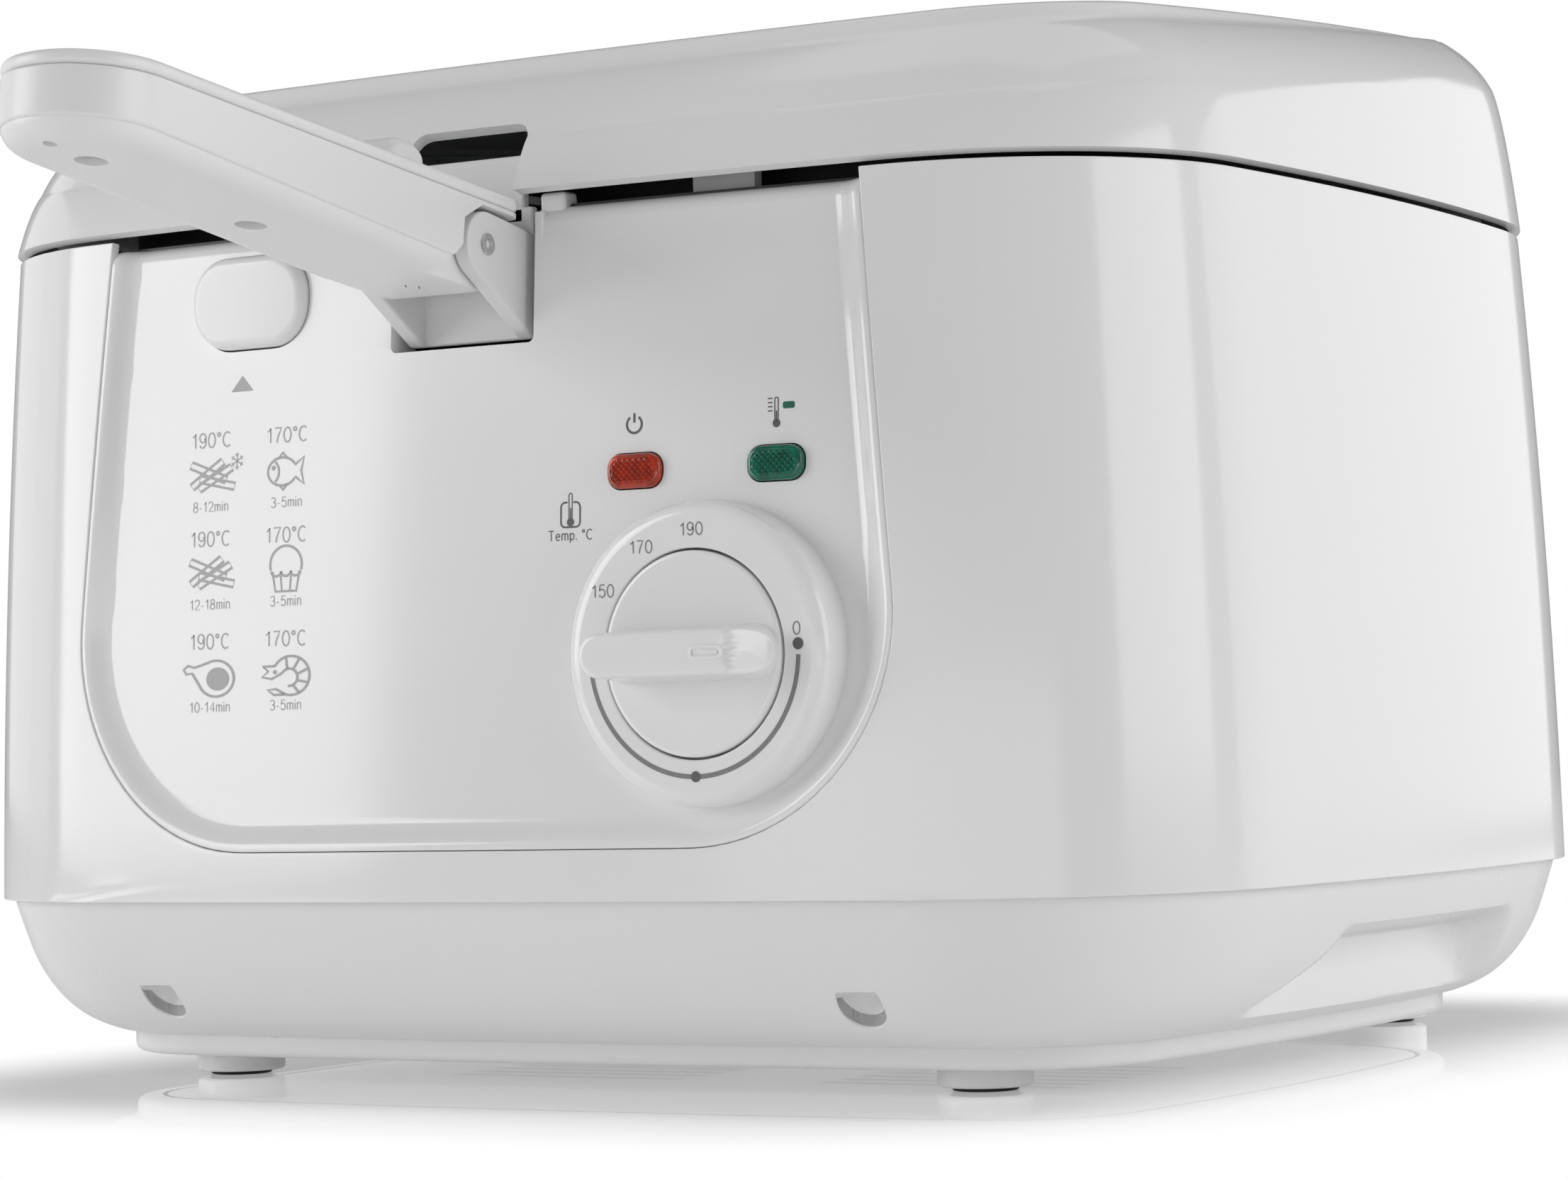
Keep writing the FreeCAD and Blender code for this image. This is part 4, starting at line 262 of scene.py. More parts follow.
def made(name, points, faces):
    """New mesh object from points in millimetres."""
    mesh = bpy.data.meshes.new(name)
    mesh.from_pydata(placed(points).tolist(), [], [list(face) for face in faces])
    return linked(name, mesh)


def grid_faces(rows, columns, closed=False):
    """Quads of a grid of points, row by row; a closed grid joins its last column to its first."""
    faces = []
    for row in range(rows - 1):
        for column in range(columns if closed else columns - 1):
            after = (column + 1) % columns
            a, b = row * columns, (row + 1) * columns
            faces.append((a + column, a + after, b + after, b + column))
    return faces


def welded(thing, distance=2e-6):
    """Join points that coincide and turn the faces outward."""
    work = bmesh.new()
    work.from_mesh(thing.data)
    bmesh.ops.remove_doubles(work, verts=work.verts, dist=distance)
    bmesh.ops.recalc_face_normals(work, faces=work.faces)
    work.to_mesh(thing.data)
    work.free()
    return thing


def facing(thing, direction):
    """Turn all faces over if most of them look away from a direction."""
    mesh = thing.data
    total = sum((Vector(face.normal) * face.area for face in mesh.polygons), Vector())
    if total.dot(Vector(direction)) < 0:
        mesh.flip_normals()
    return thing


def facing_out(thing):
    """Turn the faces of a wall round the middle outward."""
    mesh = thing.data
    middle = Vector(placed((0, 0, 0))[0])
    outward = sum((face.center - middle).xy.dot(face.normal.xy) * face.area for face in mesh.polygons)
    if outward < 0:
        mesh.flip_normals()


def thickened(thing, wall):
    """Give a sheet a wall on its inner side."""
    change = thing.modifiers.new("wall", "SOLIDIFY")
    change.thickness = wall
    change.offset = -1
    change.use_even_offset = True
    return applied(thing)


def softened(thing, width, angle=38):
    """Round the edges that bend more than an angle."""
    change = thing.modifiers.new("soft_edges", "BEVEL")
    change.width = width
    change.segments = 3
    change.limit_method = "ANGLE"
    change.angle_limit = math.radians(angle)
    change.miter_outer = "MITER_ARC"
    return applied(thing)


def carved(thing, *cutters, solver="EXACT"):
    """Cut other solids out of this one and remove them."""
    for cutter in cutters:
        change = thing.modifiers.new("cut", "BOOLEAN")
        change.object = cutter
        change.solver = solver
        applied(thing)
        bpy.data.objects.remove(cutter)
    return thing


def applied(thing):
    """Make the modifiers' result the object's own mesh."""
    bpy.context.view_layer.update()
    shaped = thing.evaluated_get(bpy.context.evaluated_depsgraph_get())
    mesh = bpy.data.meshes.new_from_object(shaped)
    thing.modifiers.clear()
    old = thing.data
    thing.data = mesh
    bpy.data.meshes.remove(old)
    return thing


def joined(name, *things):
    """One object from several, which are removed."""
    work = bmesh.new()
    for thing in things:
        mesh = thing.data.copy()
        mesh.transform(thing.matrix_world)
        work.from_mesh(mesh)
        bpy.data.meshes.remove(mesh)
        bpy.data.objects.remove(thing)
    mesh = bpy.data.meshes.new(name)
    work.to_mesh(mesh)
    work.free()
    return linked(name, mesh)


def finished(thing, body, slot, nodes=(), sharp=48, finish=None):
    """Smooth the piece, give it its slot's finish or another one, and set it on its body."""
    mesh = thing.data
    mesh.shade_smooth()
    mesh.set_sharp_from_angle(angle=math.radians(sharp))
    even = thing.modifiers.new("even_normals", "WEIGHTED_NORMAL")
    even.keep_sharp = True
    even.weight = 60
    applied(thing)
    thing.data.name = thing.name
    thing.data.materials.clear()
    thing.data.materials.append(FINISHES[finish or slot])
    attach(thing, body)
    if nodes:
        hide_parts(*nodes)
    return thing


def turned_about(name, profile, count):
    """Profile of (radius, height) turned about Z; it starts and ends on the axis or at the same point."""
    angles = np.linspace(0, TAU, count, endpoint=False)
    points = [(r * math.cos(a), r * math.sin(a), h) for r, h in profile for a in angles]
    faces = grid_faces(len(profile), count, closed=True)
    mesh = bpy.data.meshes.new(name)
    mesh.from_pydata((np.array(points) * MM).tolist(), [], faces)
    return welded(linked(name, mesh), distance=1e-7)


def stood(thing, x, y, z, rotation=None):
    """Move a mesh made about its own origin to a place in millimetres."""
    turn = rotation.to_4x4() if rotation else Matrix.Identity(4)
    thing.data.transform(Matrix.Translation(placed((x, y, z))[0]) @ turn)
    return thing


# Turns of an upright piece to the front and to the back
FORWARD, BACKWARD = Matrix.Rotation(math.pi / 2, 3, "X"), Matrix.Rotation(-math.pi / 2, 3, "X")


def rounded_corners(corners, radius, count):
    """Polygon of 2D corners with each one rounded; a corner may carry its own radius."""
    found = []
    total = len(corners)
    for k in range(total):
        here = np.array(corners[k][:2], float)
        size = corners[k][2] if len(corners[k]) > 2 else radius
        if size <= 0:
            found.append(tuple(here))
            continue
        before = np.array(corners[k - 1][:2], float) - here
        after = np.array(corners[(k + 1) % total][:2], float) - here
        before_unit, after_unit = before / np.hypot(*before), after / np.hypot(*after)
        half = math.acos(np.clip(before_unit @ after_unit, -1, 1)) / 2
        reach = min(size / math.tan(half), 0.49 * np.hypot(*before), 0.49 * np.hypot(*after))
        size = reach * math.tan(half)
        middle = before_unit + after_unit
        centre = here + middle / np.hypot(*middle) * (size / math.sin(half))
        first = bearing(centre, here + before_unit * reach)
        last = bearing(centre, here + after_unit * reach)
        swing = (last - first + math.pi) % TAU - math.pi
        found += [(centre[0] + size * math.cos(first + swing * t), centre[1] + size * math.sin(first + swing * t))
                  for t in np.linspace(0, 1, count)]
    return found


def rounded_box(half_x, half_y, radius, centre=(0, 0), count=8):
    """Rounded rectangle as 2D points."""
    x, y = centre
    return rounded_corners([(x - half_x, y - half_y), (x + half_x, y - half_y), (x + half_x, y + half_y),
                            (x - half_x, y + half_y)], radius, count)


def plate(name, outer, holes, low, high, round_by, to_space, segments=3):
    """Flat plate with holes and rounded edges; to_space turns (u, v, w) into millimetres."""
    curve = bpy.data.curves.new(name, "CURVE")
    curve.dimensions = "2D"
    curve.fill_mode = "BOTH"
    for loop in [outer, *holes]:
        line = curve.splines.new("POLY")
        line.points.add(len(loop) - 1)
        for point, (u, v) in zip(line.points, loop):
            point.co = (u, v, 0, 1)
        line.use_cyclic_u = True
    curve.extrude = (high - low) / 2 - round_by
    curve.bevel_depth = round_by
    curve.bevel_resolution = segments
    curve.offset = -round_by
    thing = linked(name, curve)
    bpy.context.view_layer.update()
    mesh = bpy.data.meshes.new_from_object(thing.evaluated_get(bpy.context.evaluated_depsgraph_get()))
    bpy.data.objects.remove(thing)
    bpy.data.curves.remove(curve)
    flat = np.array([vertex.co for vertex in mesh.vertices], float).reshape(-1, 3)
    flat[:, 2] += (high + low) / 2
    space = placed(np.array([to_space(*point) for point in flat]))
    for vertex, point in zip(mesh.vertices, space):
        vertex.co = point
    return welded(linked(name, mesh), distance=1e-6)


def block(name, x, y, z, round_by):
    """Block between two places on each axis with rounded edges."""
    points = [(x[i], y[j], z[k]) for i in (0, 1) for j in (0, 1) for k in (0, 1)]
    faces = [(0, 1, 3, 2), (4, 6, 7, 5), (0, 4, 5, 1), (2, 3, 7, 6), (0, 2, 6, 4), (1, 5, 7, 3)]
    return softened(welded(made(name, points, faces)), round_by * MM)


def circle(centre, radius, count, start=0.0):
    """Points round a circle."""
    return [(centre[0] + radius * math.cos(a), centre[1] + radius * math.sin(a))
            for a in np.linspace(start, start + TAU, count, endpoint=False)]


def at_level(loop, w):
    """2D points with a third value, one for all of them or one each."""
    return np.column_stack([loop, np.broadcast_to(w, len(loop))])


def stacked(name, rings, to_space):
    """Closed solid through rings of (u, v, w), with a face over both ends."""
    count = len(rings[0])
    faces = grid_faces(len(rings), count, closed=True)
    faces += [tuple(range(count)), tuple(range(len(rings) * count - 1, (len(rings) - 1) * count - 1, -1))]
    return welded(made(name, [to_space(*point) for point in np.concatenate(rings)], faces), distance=1e-7)


def prism(name, loop, low, high, to_space):
    """Straight solid over a loop."""
    return stacked(name, [at_level(loop, w) for w in (low, high)], to_space)


def on_front(u, v, w):
    """Across and up the front, w towards the viewer from y = 0."""
    return u, -w, v


def on_side(u, v, w):
    """Along and up a side, w to the right."""
    return w, u, v


def on_handle(u, v, w):
    """From the handle's own axes to the housing's."""
    y = v * math.cos(HANDLE_TILT) - w * math.sin(HANDLE_TILT)
    z = v * math.sin(HANDLE_TILT) + w * math.cos(HANDLE_TILT)
    return u, PIN_Y + y, PIN_Z + z


def across_handle(u, v, w):
    """Along and up the handle, w to its right."""
    return on_handle(w, u, v)


def on_lid(u, v, w):
    """From the lid's sloping top to the housing's axes."""
    y = v * math.cos(TOP_SLOPE) - w * math.sin(TOP_SLOPE)
    z = v * math.sin(TOP_SLOPE) + w * math.cos(TOP_SLOPE)
    return u, y, TOP_Z + z


# Materials
class Finish:
    """Node material with the textures that a finish is built from"""

    def __init__(self, name):
        self.material = bpy.data.materials.new(name)
        self.material.use_nodes = True
        self.nodes = self.material.node_tree.nodes
        self.link = self.material.node_tree.links.new
        self.shader = self.nodes["Principled BSDF"]
        self.place = self.add("ShaderNodeTexCoord").outputs["Object"]

    def add(self, kind, **values):
        """New node; a value goes to the input of its name, or else to the node's own setting."""
        added = self.nodes.new(kind)
        for key, value in values.items():
            if key in added.inputs:
                added.inputs[key].default_value = value
            else:
                setattr(added, key, value)
        return added

    def fixed(self, **values):
        """Values on the shader's own sockets, with _ for the spaces in their names."""
        for key, value in values.items():
            self.shader.inputs[key.replace("_", " ")].default_value = value

    def noise(self, scale, detail, vector=None, **values):
        """Noise in the object's own coordinates or in others."""
        texture = self.add("ShaderNodeTexNoise", Scale=scale, Detail=detail, **values)
        self.link(self.place if vector is None else vector, texture.inputs["Vector"])
        return texture.outputs["Fac"]

    def spread(self, source, low, high):
        """Noise stretched between two values."""
        ramp = self.add("ShaderNodeMapRange", **{"From Min": 0.35, "From Max": 0.65, "To Min": low, "To Max": high})
        self.link(source, ramp.inputs["Value"])
        return ramp.outputs["Result"]

    def tint(self, source, colour, change):
        """Base colour that drifts a little with noise."""
        mix = self.add("ShaderNodeMix", data_type="RGBA")
        mix.inputs["A"].default_value = (*[part * (1 - change) for part in colour], 1)
        mix.inputs["B"].default_value = (*[min(1, part * (1 + change)) for part in colour], 1)
        self.link(source, mix.inputs["Factor"])
        self.link(mix.outputs["Result"], self.shader.inputs["Base Color"])

    def polish(self, source, low, high):
        """Roughness that varies between two values."""
        self.link(self.spread(source, low, high), self.shader.inputs["Roughness"])

    def relief(self, source, strength, depth, under=None):
        """Bump of a depth in millimetres, laid over another one where there is one."""
        bump = self.add("ShaderNodeBump", Strength=strength, Distance=depth * MM)
        self.link(source, bump.inputs["Height"])
        if under is not None:
            self.link(under, bump.inputs["Normal"])
        self.link(bump.outputs["Normal"], self.shader.inputs["Normal"])
        return bump.outputs["Normal"]


def plastic(name, colour, roughness, grain, depth, drift, wave=0.0):
    """Moulded plastic: drifting tone, uneven polish, fine grain and faint flow waves."""
    finish = Finish(name)
    tone = finish.noise(9.0, 3.0)
    finish.tint(finish.spread(tone, 0, 1), colour, drift)
    finish.polish(tone, roughness * 0.88, roughness * 1.14)
    waves = finish.relief(finish.noise(38.0, 1.0), 0.3, wave) if wave else None
    finish.relief(finish.noise(grain, 4.0, Roughness=0.6), 0.35, depth, waves)
    finish.fixed(IOR=1.5)
    return finish.material


def metal(name, colour, roughness, stretch=(1, 1, 1), depth=0.01, scale=900.0):
    """Metal with brush lines along one axis and uneven polish."""
    finish = Finish(name)
    brushed = finish.add("ShaderNodeMapping", Scale=stretch)
    finish.link(finish.place, brushed.inputs["Vector"])
    lines = finish.noise(scale, 3.0, brushed.outputs["Vector"])
    finish.tint(finish.spread(finish.noise(22.0, 4.0), 0, 1), colour, 0.06)
    finish.polish(lines, roughness * 0.75, roughness * 1.25)
    finish.relief(lines, 0.4, depth)
    finish.fixed(Metallic=1.0)
    return finish.material


def lens(name, colour):
    """Coloured clear plastic with streaks of lighter tone inside."""
    finish = Finish(name)
    streak = finish.noise(420.0, 2.0)
    finish.tint(finish.spread(streak, 0, 1), colour, 0.3)
    finish.polish(streak, 0.06, 0.16)
    finish.relief(streak, 0.25, 0.05)
    finish.fixed(IOR=1.49, Coat_Weight=0.4, Coat_Roughness=0.05)
    return finish.material


def glass(name):
    """Toughened glass with faint smears."""
    finish = Finish(name)
    smear = finish.noise(14.0, 5.0)
    finish.polish(smear, 0.02, 0.09)
    finish.tint(finish.spread(smear, 0, 1), (0.86, 0.9, 0.89), 0.02)
    finish.fixed(Transmission_Weight=1.0, IOR=1.5)
    return finish.material


def felt(name, colour):
    """Open fibre pad."""
    finish = Finish(name)
    fibre = finish.noise(700.0, 6.0, Roughness=0.75, Distortion=1.5)
    finish.tint(finish.spread(fibre, 0, 1), colour, 0.5)
    finish.relief(fibre, 0.9, 0.6)
    finish.polish(fibre, 0.85, 1.0)
    return finish.material


def ink(name, colour):
    """Screen print with slightly uneven cover."""
    finish = Finish(name)
    cover = finish.noise(1500.0, 2.0)
    finish.tint(finish.spread(cover, 0, 1), colour, 0.06)
    finish.polish(cover, 0.38, 0.52)
    return finish.material


FINISHES = {}


def make_finishes():
    """All finishes of the fryer, by the name of their slot."""
    tint = colours()
    FINISHES.update({
        "white_gloss": plastic("white_gloss", tint.white, 0.13, 900.0, 0.004, 0.006, 0.02),
        "white_satin": plastic("white_satin", tint.satin, 0.3, 1400.0, 0.012, 0.008, 0.015),
        "light_grey": plastic("light_grey", tint.bracket, 0.5, 2200.0, 0.03, 0.03),
        "black_plastic": plastic("black_plastic", tint.black, 0.42, 1800.0, 0.03, 0.2),
        "black_rubber": plastic("black_rubber", tint.black, 0.68, 1200.0, 0.03, 0.25),
        "stainless_steel": metal("stainless_steel", tint.steel, 0.28, (1, 14, 14)),
        "element_aluminium": metal("element_aluminium", (0.56, 0.56, 0.57), 0.45, depth=0.04, scale=500.0),
        "sensor_brass": metal("sensor_brass", (0.62, 0.46, 0.2), 0.3, (1, 12, 1)),
        "clear_glass": glass("clear_glass"),
        "filter_fabric": felt("filter_fabric", (0.05, 0.05, 0.052)),
        "red_lens": lens("red_lens", tint.red),
        "green_lens": lens("green_lens", tint.green),
        "light_print": ink("light_print", tint.light_print),
        "middle_print": ink("middle_print", tint.middle_print),
        "dark_print": ink("dark_print", tint.dark_print),
        "green_print": ink("green_print", tint.green),
    })


# Curves
def along(points, count, scale=(1, 1)):
    """Polyline resampled evenly, with each of its two values measured in its own scale."""
    points = np.asarray(points, float)
    steps = np.hypot(*(np.diff(points, axis=0) * scale).T)
    reach = np.concatenate([[0], np.cumsum(steps)])
    wanted = np.linspace(0, reach[-1], count)
    return np.stack([np.interp(wanted, reach, points[:, k]) for k in (0, 1)], axis=1)


def smooth_through(reach, values, wanted):
    """Smooth monotone curve through values."""
    slopes = np.gradient(values, reach)
    number = np.clip(np.searchsorted(reach, wanted) - 1, 0, len(reach) - 2)
    span = reach[number + 1] - reach[number]
    t = (wanted - reach[number]) / span
    a, b = values[number], values[number + 1]
    m, n = slopes[number] * span, slopes[number + 1] * span
    return (2 * t ** 3 - 3 * t ** 2 + 1) * a + (t ** 3 - 2 * t ** 2 + t) * m + (3 * t ** 2 - 2 * t ** 3) * b \
        + (t ** 3 - t ** 2) * n


def eased(value):
    """Smooth step from 0 to 1."""
    value = np.clip(value, 0, 1)
    return value * value * (3 - 2 * value)


def inside(point, loop):
    """True where a 2D point lies in a closed loop."""
    x, y = point
    odd = False
    for (x0, y0), (x1, y1) in zip(loop, loop[1:] + loop[:1]):
        if (y0 > y) != (y1 > y) and x < x0 + (y - y0) * (x1 - x0) / (y1 - y0):
            odd = not odd
    return odd


def spaced(points, step, closed=True):
    """Loop or open run with extra points on its long stretches."""
    found = []
    for start, end in zip(points, points[1:] + points[:1] if closed else points[1:]):
        count = max(1, int(math.hypot(end[0] - start[0], end[1] - start[1]) // step))
        found += [(start[0] + (end[0] - start[0]) * k / count, start[1] + (end[1] - start[1]) * k / count)
                  for k in range(count)]
    return found if closed else found + [points[-1]]


def bend(first, middle, last, count):
    """Quadratic curve through three-part controls."""
    first, middle, last = (np.array(control, float) for control in (first, middle, last))
    t = np.linspace(0, 1, count)[:, None]
    return (1 - t) ** 2 * first + 2 * t * (1 - t) * middle + t ** 2 * last


# Body shell
def panel_edge(inset, top):
    """U-shaped edge of the front panel from its top left to its top right."""
    slope = (PANEL_LOW_HALF - PANEL_TOP_HALF) / (PANEL_TOP - PANEL_LOW)
    draw = inset * math.sqrt(1 + slope * slope)
    half_top = PANEL_TOP_HALF - draw - slope * (top - PANEL_TOP)
    low = PANEL_LOW + inset
    half_low = PANEL_LOW_HALF - draw - slope * inset
    return rounded_corners([(-half_top, top, 0), (-half_low, low), (half_low, low), (half_top, top, 0)],
                           PANEL_CORNER - inset, CORNER_POINTS)


def split_edge(edge, side_count, low_count):
    """Resample a U-shaped edge in three runs that part at the middle of its corners."""
    edge = np.asarray(edge, float)
    left = 1 + CORNER_POINTS // 2
    right = len(edge) - 1 - CORNER_POINTS // 2
    runs = [along(edge[:left + 1], side_count), along(edge[left:right + 1], low_count)[1:],
            along(edge[right:], side_count)[1:]]
    return np.concatenate(runs)


def hinge_lug(low, high):
    """Lug that holds one end of the hinge pin."""
    profile = rounded_corners([(146.5, 172, 0), (148.5, 172, 1), (163.2, 187.5, 4), (163.2, 207, 0),
                               (163.2, 213.7, 6.7), (149.8, 213.7, 6.7), (149.8, 199.5, 0), (146.5, 199.5, 0)],
                              1.0, 10)
    return plate("lug", profile, [], low, high, 0.8, on_side)


class FRYER_OT_body_shell(bpy.types.Operator):
    """Body shell with the opening for the front panel and the hinge lugs"""
    bl_idname = "fryer.body_shell"
    bl_label = "Body shell"

    # Half of the width in which the shell is built round the panel
    FRONT_HALF = 132.0

    def execute(self, context):
        step = sizes().mesh_step / MM
        rows, low_count = 30, 44
        levels = np.linspace(SHELL_TOP, WAIST, rows)
        left, right = (float(front_bearing(x, 0.0)) for x in (-self.FRONT_HALF, self.FRONT_HALF))
        ring = ring_bearings(step)
        start = right - TAU
        outside = np.concatenate([[start], sorted(a for a in np.concatenate([ring, ring - TAU])
                                                  if start + 0.002 < a < left - 0.002), [left]])
        points = [at_level(outline(outside, shell_inset(z)), z) for z in levels]
        around = made("shell_round", np.concatenate(points), grid_faces(rows, len(outside)))

        inner = split_edge(panel_edge(-0.05, SHELL_TOP), rows, low_count)
        low_bearings = np.linspace(left, start + TAU, low_count)
        outer = np.concatenate([
            np.column_stack([outline(left, shell_inset(levels))[:, 0], levels]),
            np.column_stack([outline(low_bearings, 0.0)[:, 0], np.full(low_count, WAIST)])[1:],
            np.column_stack([outline(start + TAU, shell_inset(levels[::-1]))[:, 0], levels[::-1]])[1:]])
        shares = np.array([0, 0.06, 0.14, 0.26, 0.42, 0.6, 0.8, 1.0])
        band = np.concatenate([front_point(*(inner + (outer - inner) * share).T) for share in shares])
        front = made("shell_front", band, grid_faces(len(shares), len(inner)))
        shell = welded(joined("body_housing", around, front), distance=5e-5)
        facing_out(shell)
        thickened(shell, sizes().shell_wall)
        softened(shell, sizes().edge_round * 0.4)
        shell = joined("body_housing", shell, *[hinge_lug(*ends) for ends in both_sides(40.4, 52.2)])
        finished(shell, "fryer", "white_gloss", ["body_shell"])
        return {"FINISHED"}


# Base: inset and height of its section, from the top down
BASE_PROFILE = [(2.6, 50.0), (2.65, 47.0), (2.9, 43.5), (4.1, 39.5), (5.6, 34.9), (7.7, 29.4), (10.7, 24.0),
                (15.2, 18.5), (19.6, 15.0), (24.4, 12.6), (29.0, 11.1), (34.0, 10.3), (40.0, 10.0)]


def scooped(points):
    """Press a lifting scoop into each side of the base: a lip above, open below, flared to the front."""
    x, y, z = points[..., 0], points[..., 1], points[..., 2]
    flare = eased((33.0 - z) / 22.0)
    front, back = -48.0 - 30.0 * flare, 60.0 + 3.0 * flare
    within = eased((y - front) / 10.0) * eased((back - y) / 12.0)
    under = eased((34.0 - z) / 4.5)
    depth = within * under
    floor = 152.5 + 1.5 * np.cos(y / 40.0)
    reach = np.abs(x)
    pressed = np.where(reach > floor, reach + (floor - reach) * depth, reach)
    result = points.copy()
    result[..., 0] = np.sign(x) * pressed
    return result


def trim_cups(cups):
    """Lift the lower edge of each well cup to the base's surface."""
    for cup in cups:
        for vertex in cup.data.vertices:
            x, y = vertex.co.x / MM, vertex.co.y / MM - HOUSING_Y
            vertex.co.z = max(vertex.co.z, base_floor(x, y) * MM)


def base_floor(x, y):
    """Height of the base's lower surface at a place in plan."""
    bearings = np.linspace(0, TAU, 720)
    low, high = 0.0, 60.0
    for _ in range(30):
        middle = (low + high) / 2
        ring = outline(bearings, middle)
        nearest = np.argmin(np.hypot(ring[:, 0] - x, ring[:, 1] - y))
        outward = (np.array([x, y]) - ring[nearest]) @ (math.cos(bearings[nearest]), math.sin(bearings[nearest]))
        if outward < 0:
            low = middle
        else:
            high = middle
    return float(np.interp((low + high) / 2, *zip(*BASE_PROFILE))) + 0.4


class FRYER_OT_base(bpy.types.Operator):
    """Base tub with scoops and screw wells, bottom cover with vents, and feet"""
    bl_idname = "fryer.base"
    bl_label = "Base"

    # Place of each screw well, and place and top of each foot
    WELLS = ((95, -138.5), (-97, -138.5), (76, 134), (-76, 134))
    FEET = ((104, -100, 6.2), (-104, -100, 6.2), (104, 122, 24.0), (-104, 122, 24.0))
    GLAND_X, GLAND_Z = -60, 30
    # Wall of the bottom cover in metres
    COVER_WALL = 0.002

    def execute(self, context):
        step = sizes().mesh_step / MM
        profile = np.array(BASE_PROFILE)
        reach = np.concatenate([[0], np.cumsum(np.hypot(*np.diff(profile, axis=0).T))])
        wanted = np.linspace(0, reach[-1], 64)
        inset = smooth_through(reach, profile[:, 0], wanted)
        height = smooth_through(reach, profile[:, 1], wanted)
        bearings = self.bearings(step)
        plan = np.array([outline(bearings, value) for value in inset])
        points = np.dstack([plan, np.repeat(height[:, None], len(bearings), axis=1)])
        base = made("base_tub", scooped(points).reshape(-1, 3), grid_faces(len(wanted), len(bearings), closed=True))
        facing_out(base)
        thickened(base, sizes().shell_wall)
        wells, cups = [], []
        for x, y in self.WELLS:
            cutter = turned_about("well", [(0, 0), (5.5, 0), (5.5, 24.0), (0, 24.0)], 40)
            wells.append(stood(cutter, x, y, 0))
            cup = turned_about("cup", [(0, 28.6), (7.2, 28.6), (7.2, 11.5), (5.5, 11.5), (5.5, 22.6), (5.1, 23.4),
                                       (4.3, 23.8), (0, 23.8)], 40)
            cups.append(stood(cup, x, y, 0))
        wells.append(stood(turned_about("gland_hole", [(0, -40), (7.06, -40), (7.06, 40), (0, 40)], 40),
                           self.GLAND_X, 155, self.GLAND_Z, FORWARD))
        carved(base, *wells)
        trim_cups(cups)
        base = joined("base_tub", base, *cups)
        finished(base, "fryer", "white_satin", ["base_casing"], sharp=40)
        self.make_cover()
        self.make_feet()
        self.make_gland()
        return {"FINISHED"}

    def bearings(self, step):
        """Closer spacing along the sides, where the scoops are."""
        low, high, gap = -0.095, 0.1, 0.002
        found = []
        for angle in ring_bearings(step):
            right, left = [(angle - centre + math.pi) % TAU - math.pi for centre in (0.0, math.pi)]
            if not (low - gap < right < high + gap or -high - gap < left < gap - low):
                found.append(angle)
        close = np.linspace(low, high, 110)
        found += [*close, *(math.pi - close)]
        return np.sort(FIRST_BEARING + np.mod(np.array(found) - FIRST_BEARING, TAU))

    def make_cover(self):
        """Bottom cover: a rounded rim and a plate with vent slots."""
        levels = [(31.6, 10.6), (31.6, 7.6), (32.0, 6.5), (32.9, 5.8), (34.2, 5.5), (39.0, 5.5)]
        bearings = ring_bearings(6.0)
        points = [at_level(outline(bearings, inset), z) for inset, z in levels]
        rim = made("cover_rim", np.concatenate(points), grid_faces(len(levels), len(bearings), closed=True))
        facing_out(rim)
        thickened(rim, self.COVER_WALL)
        edge = [tuple(point) for point in outline(bearings, 37.5)]
        slots = [rounded_box(35, 2, 1.9, (x, 10.0 * k), 6) for x in (-55, 55) for k in range(-3, 4)]
        floor = plate("cover_floor", edge, slots, 5.5, 7.5, 0.3, lambda u, v, w: (u, v, w))
        cover = joined("vented_cover", rim, floor)
        finished(cover, "fryer", "white_satin", ["bottom_cover"], sharp=40)

    def make_feet(self):
        """Feet and the rubber pads under them."""
        feet, pads = [], []
        for x, y, top in self.FEET:
            foot = turned_about("foot", [(0, top), (10.7, top), (10.7, 1.9), (10.5, 1.3), (10.0, 0.95), (8.1, 0.9),
                                         (7.9, 1.9), (0, 1.9)], 56)
            feet.append(stood(foot, x, y, 0))
            pad = turned_about("pad", [(0, 1.9), (7.5, 1.9), (7.5, 0.5), (7.2, 0.1), (6.8, 0), (4.2, 0),
                                       (3.8, 0.3), (0, 0.3)], 48)
            pads.append(stood(pad, x, y, 0))
        finished(joined("standing_feet", *feet), "fryer", "white_satin", ["feet"])
        finished(joined("grip_pads", *pads), "fryer", "black_rubber", ["foot_pads"])

    def make_gland(self):
        """Ring at the back that a cord would pass."""
        profile = [(3.5, -9.5), (3.5, 9.0), (4.2, 9.8), (6.2, 9.8), (7.0, 9.0), (7.0, 6.0), (9.0, 6.0),
                   (9.5, 5.5), (9.5, 3.2), (9.0, 2.7), (7.0, 2.7), (7.0, -9.5), (3.5, -9.5)]
        gland = turned_about("cord_inlet", profile, 64)
        stood(gland, self.GLAND_X, 143, self.GLAND_Z, BACKWARD)
        finished(gland, "fryer", "black_plastic", ["cord_gland"])


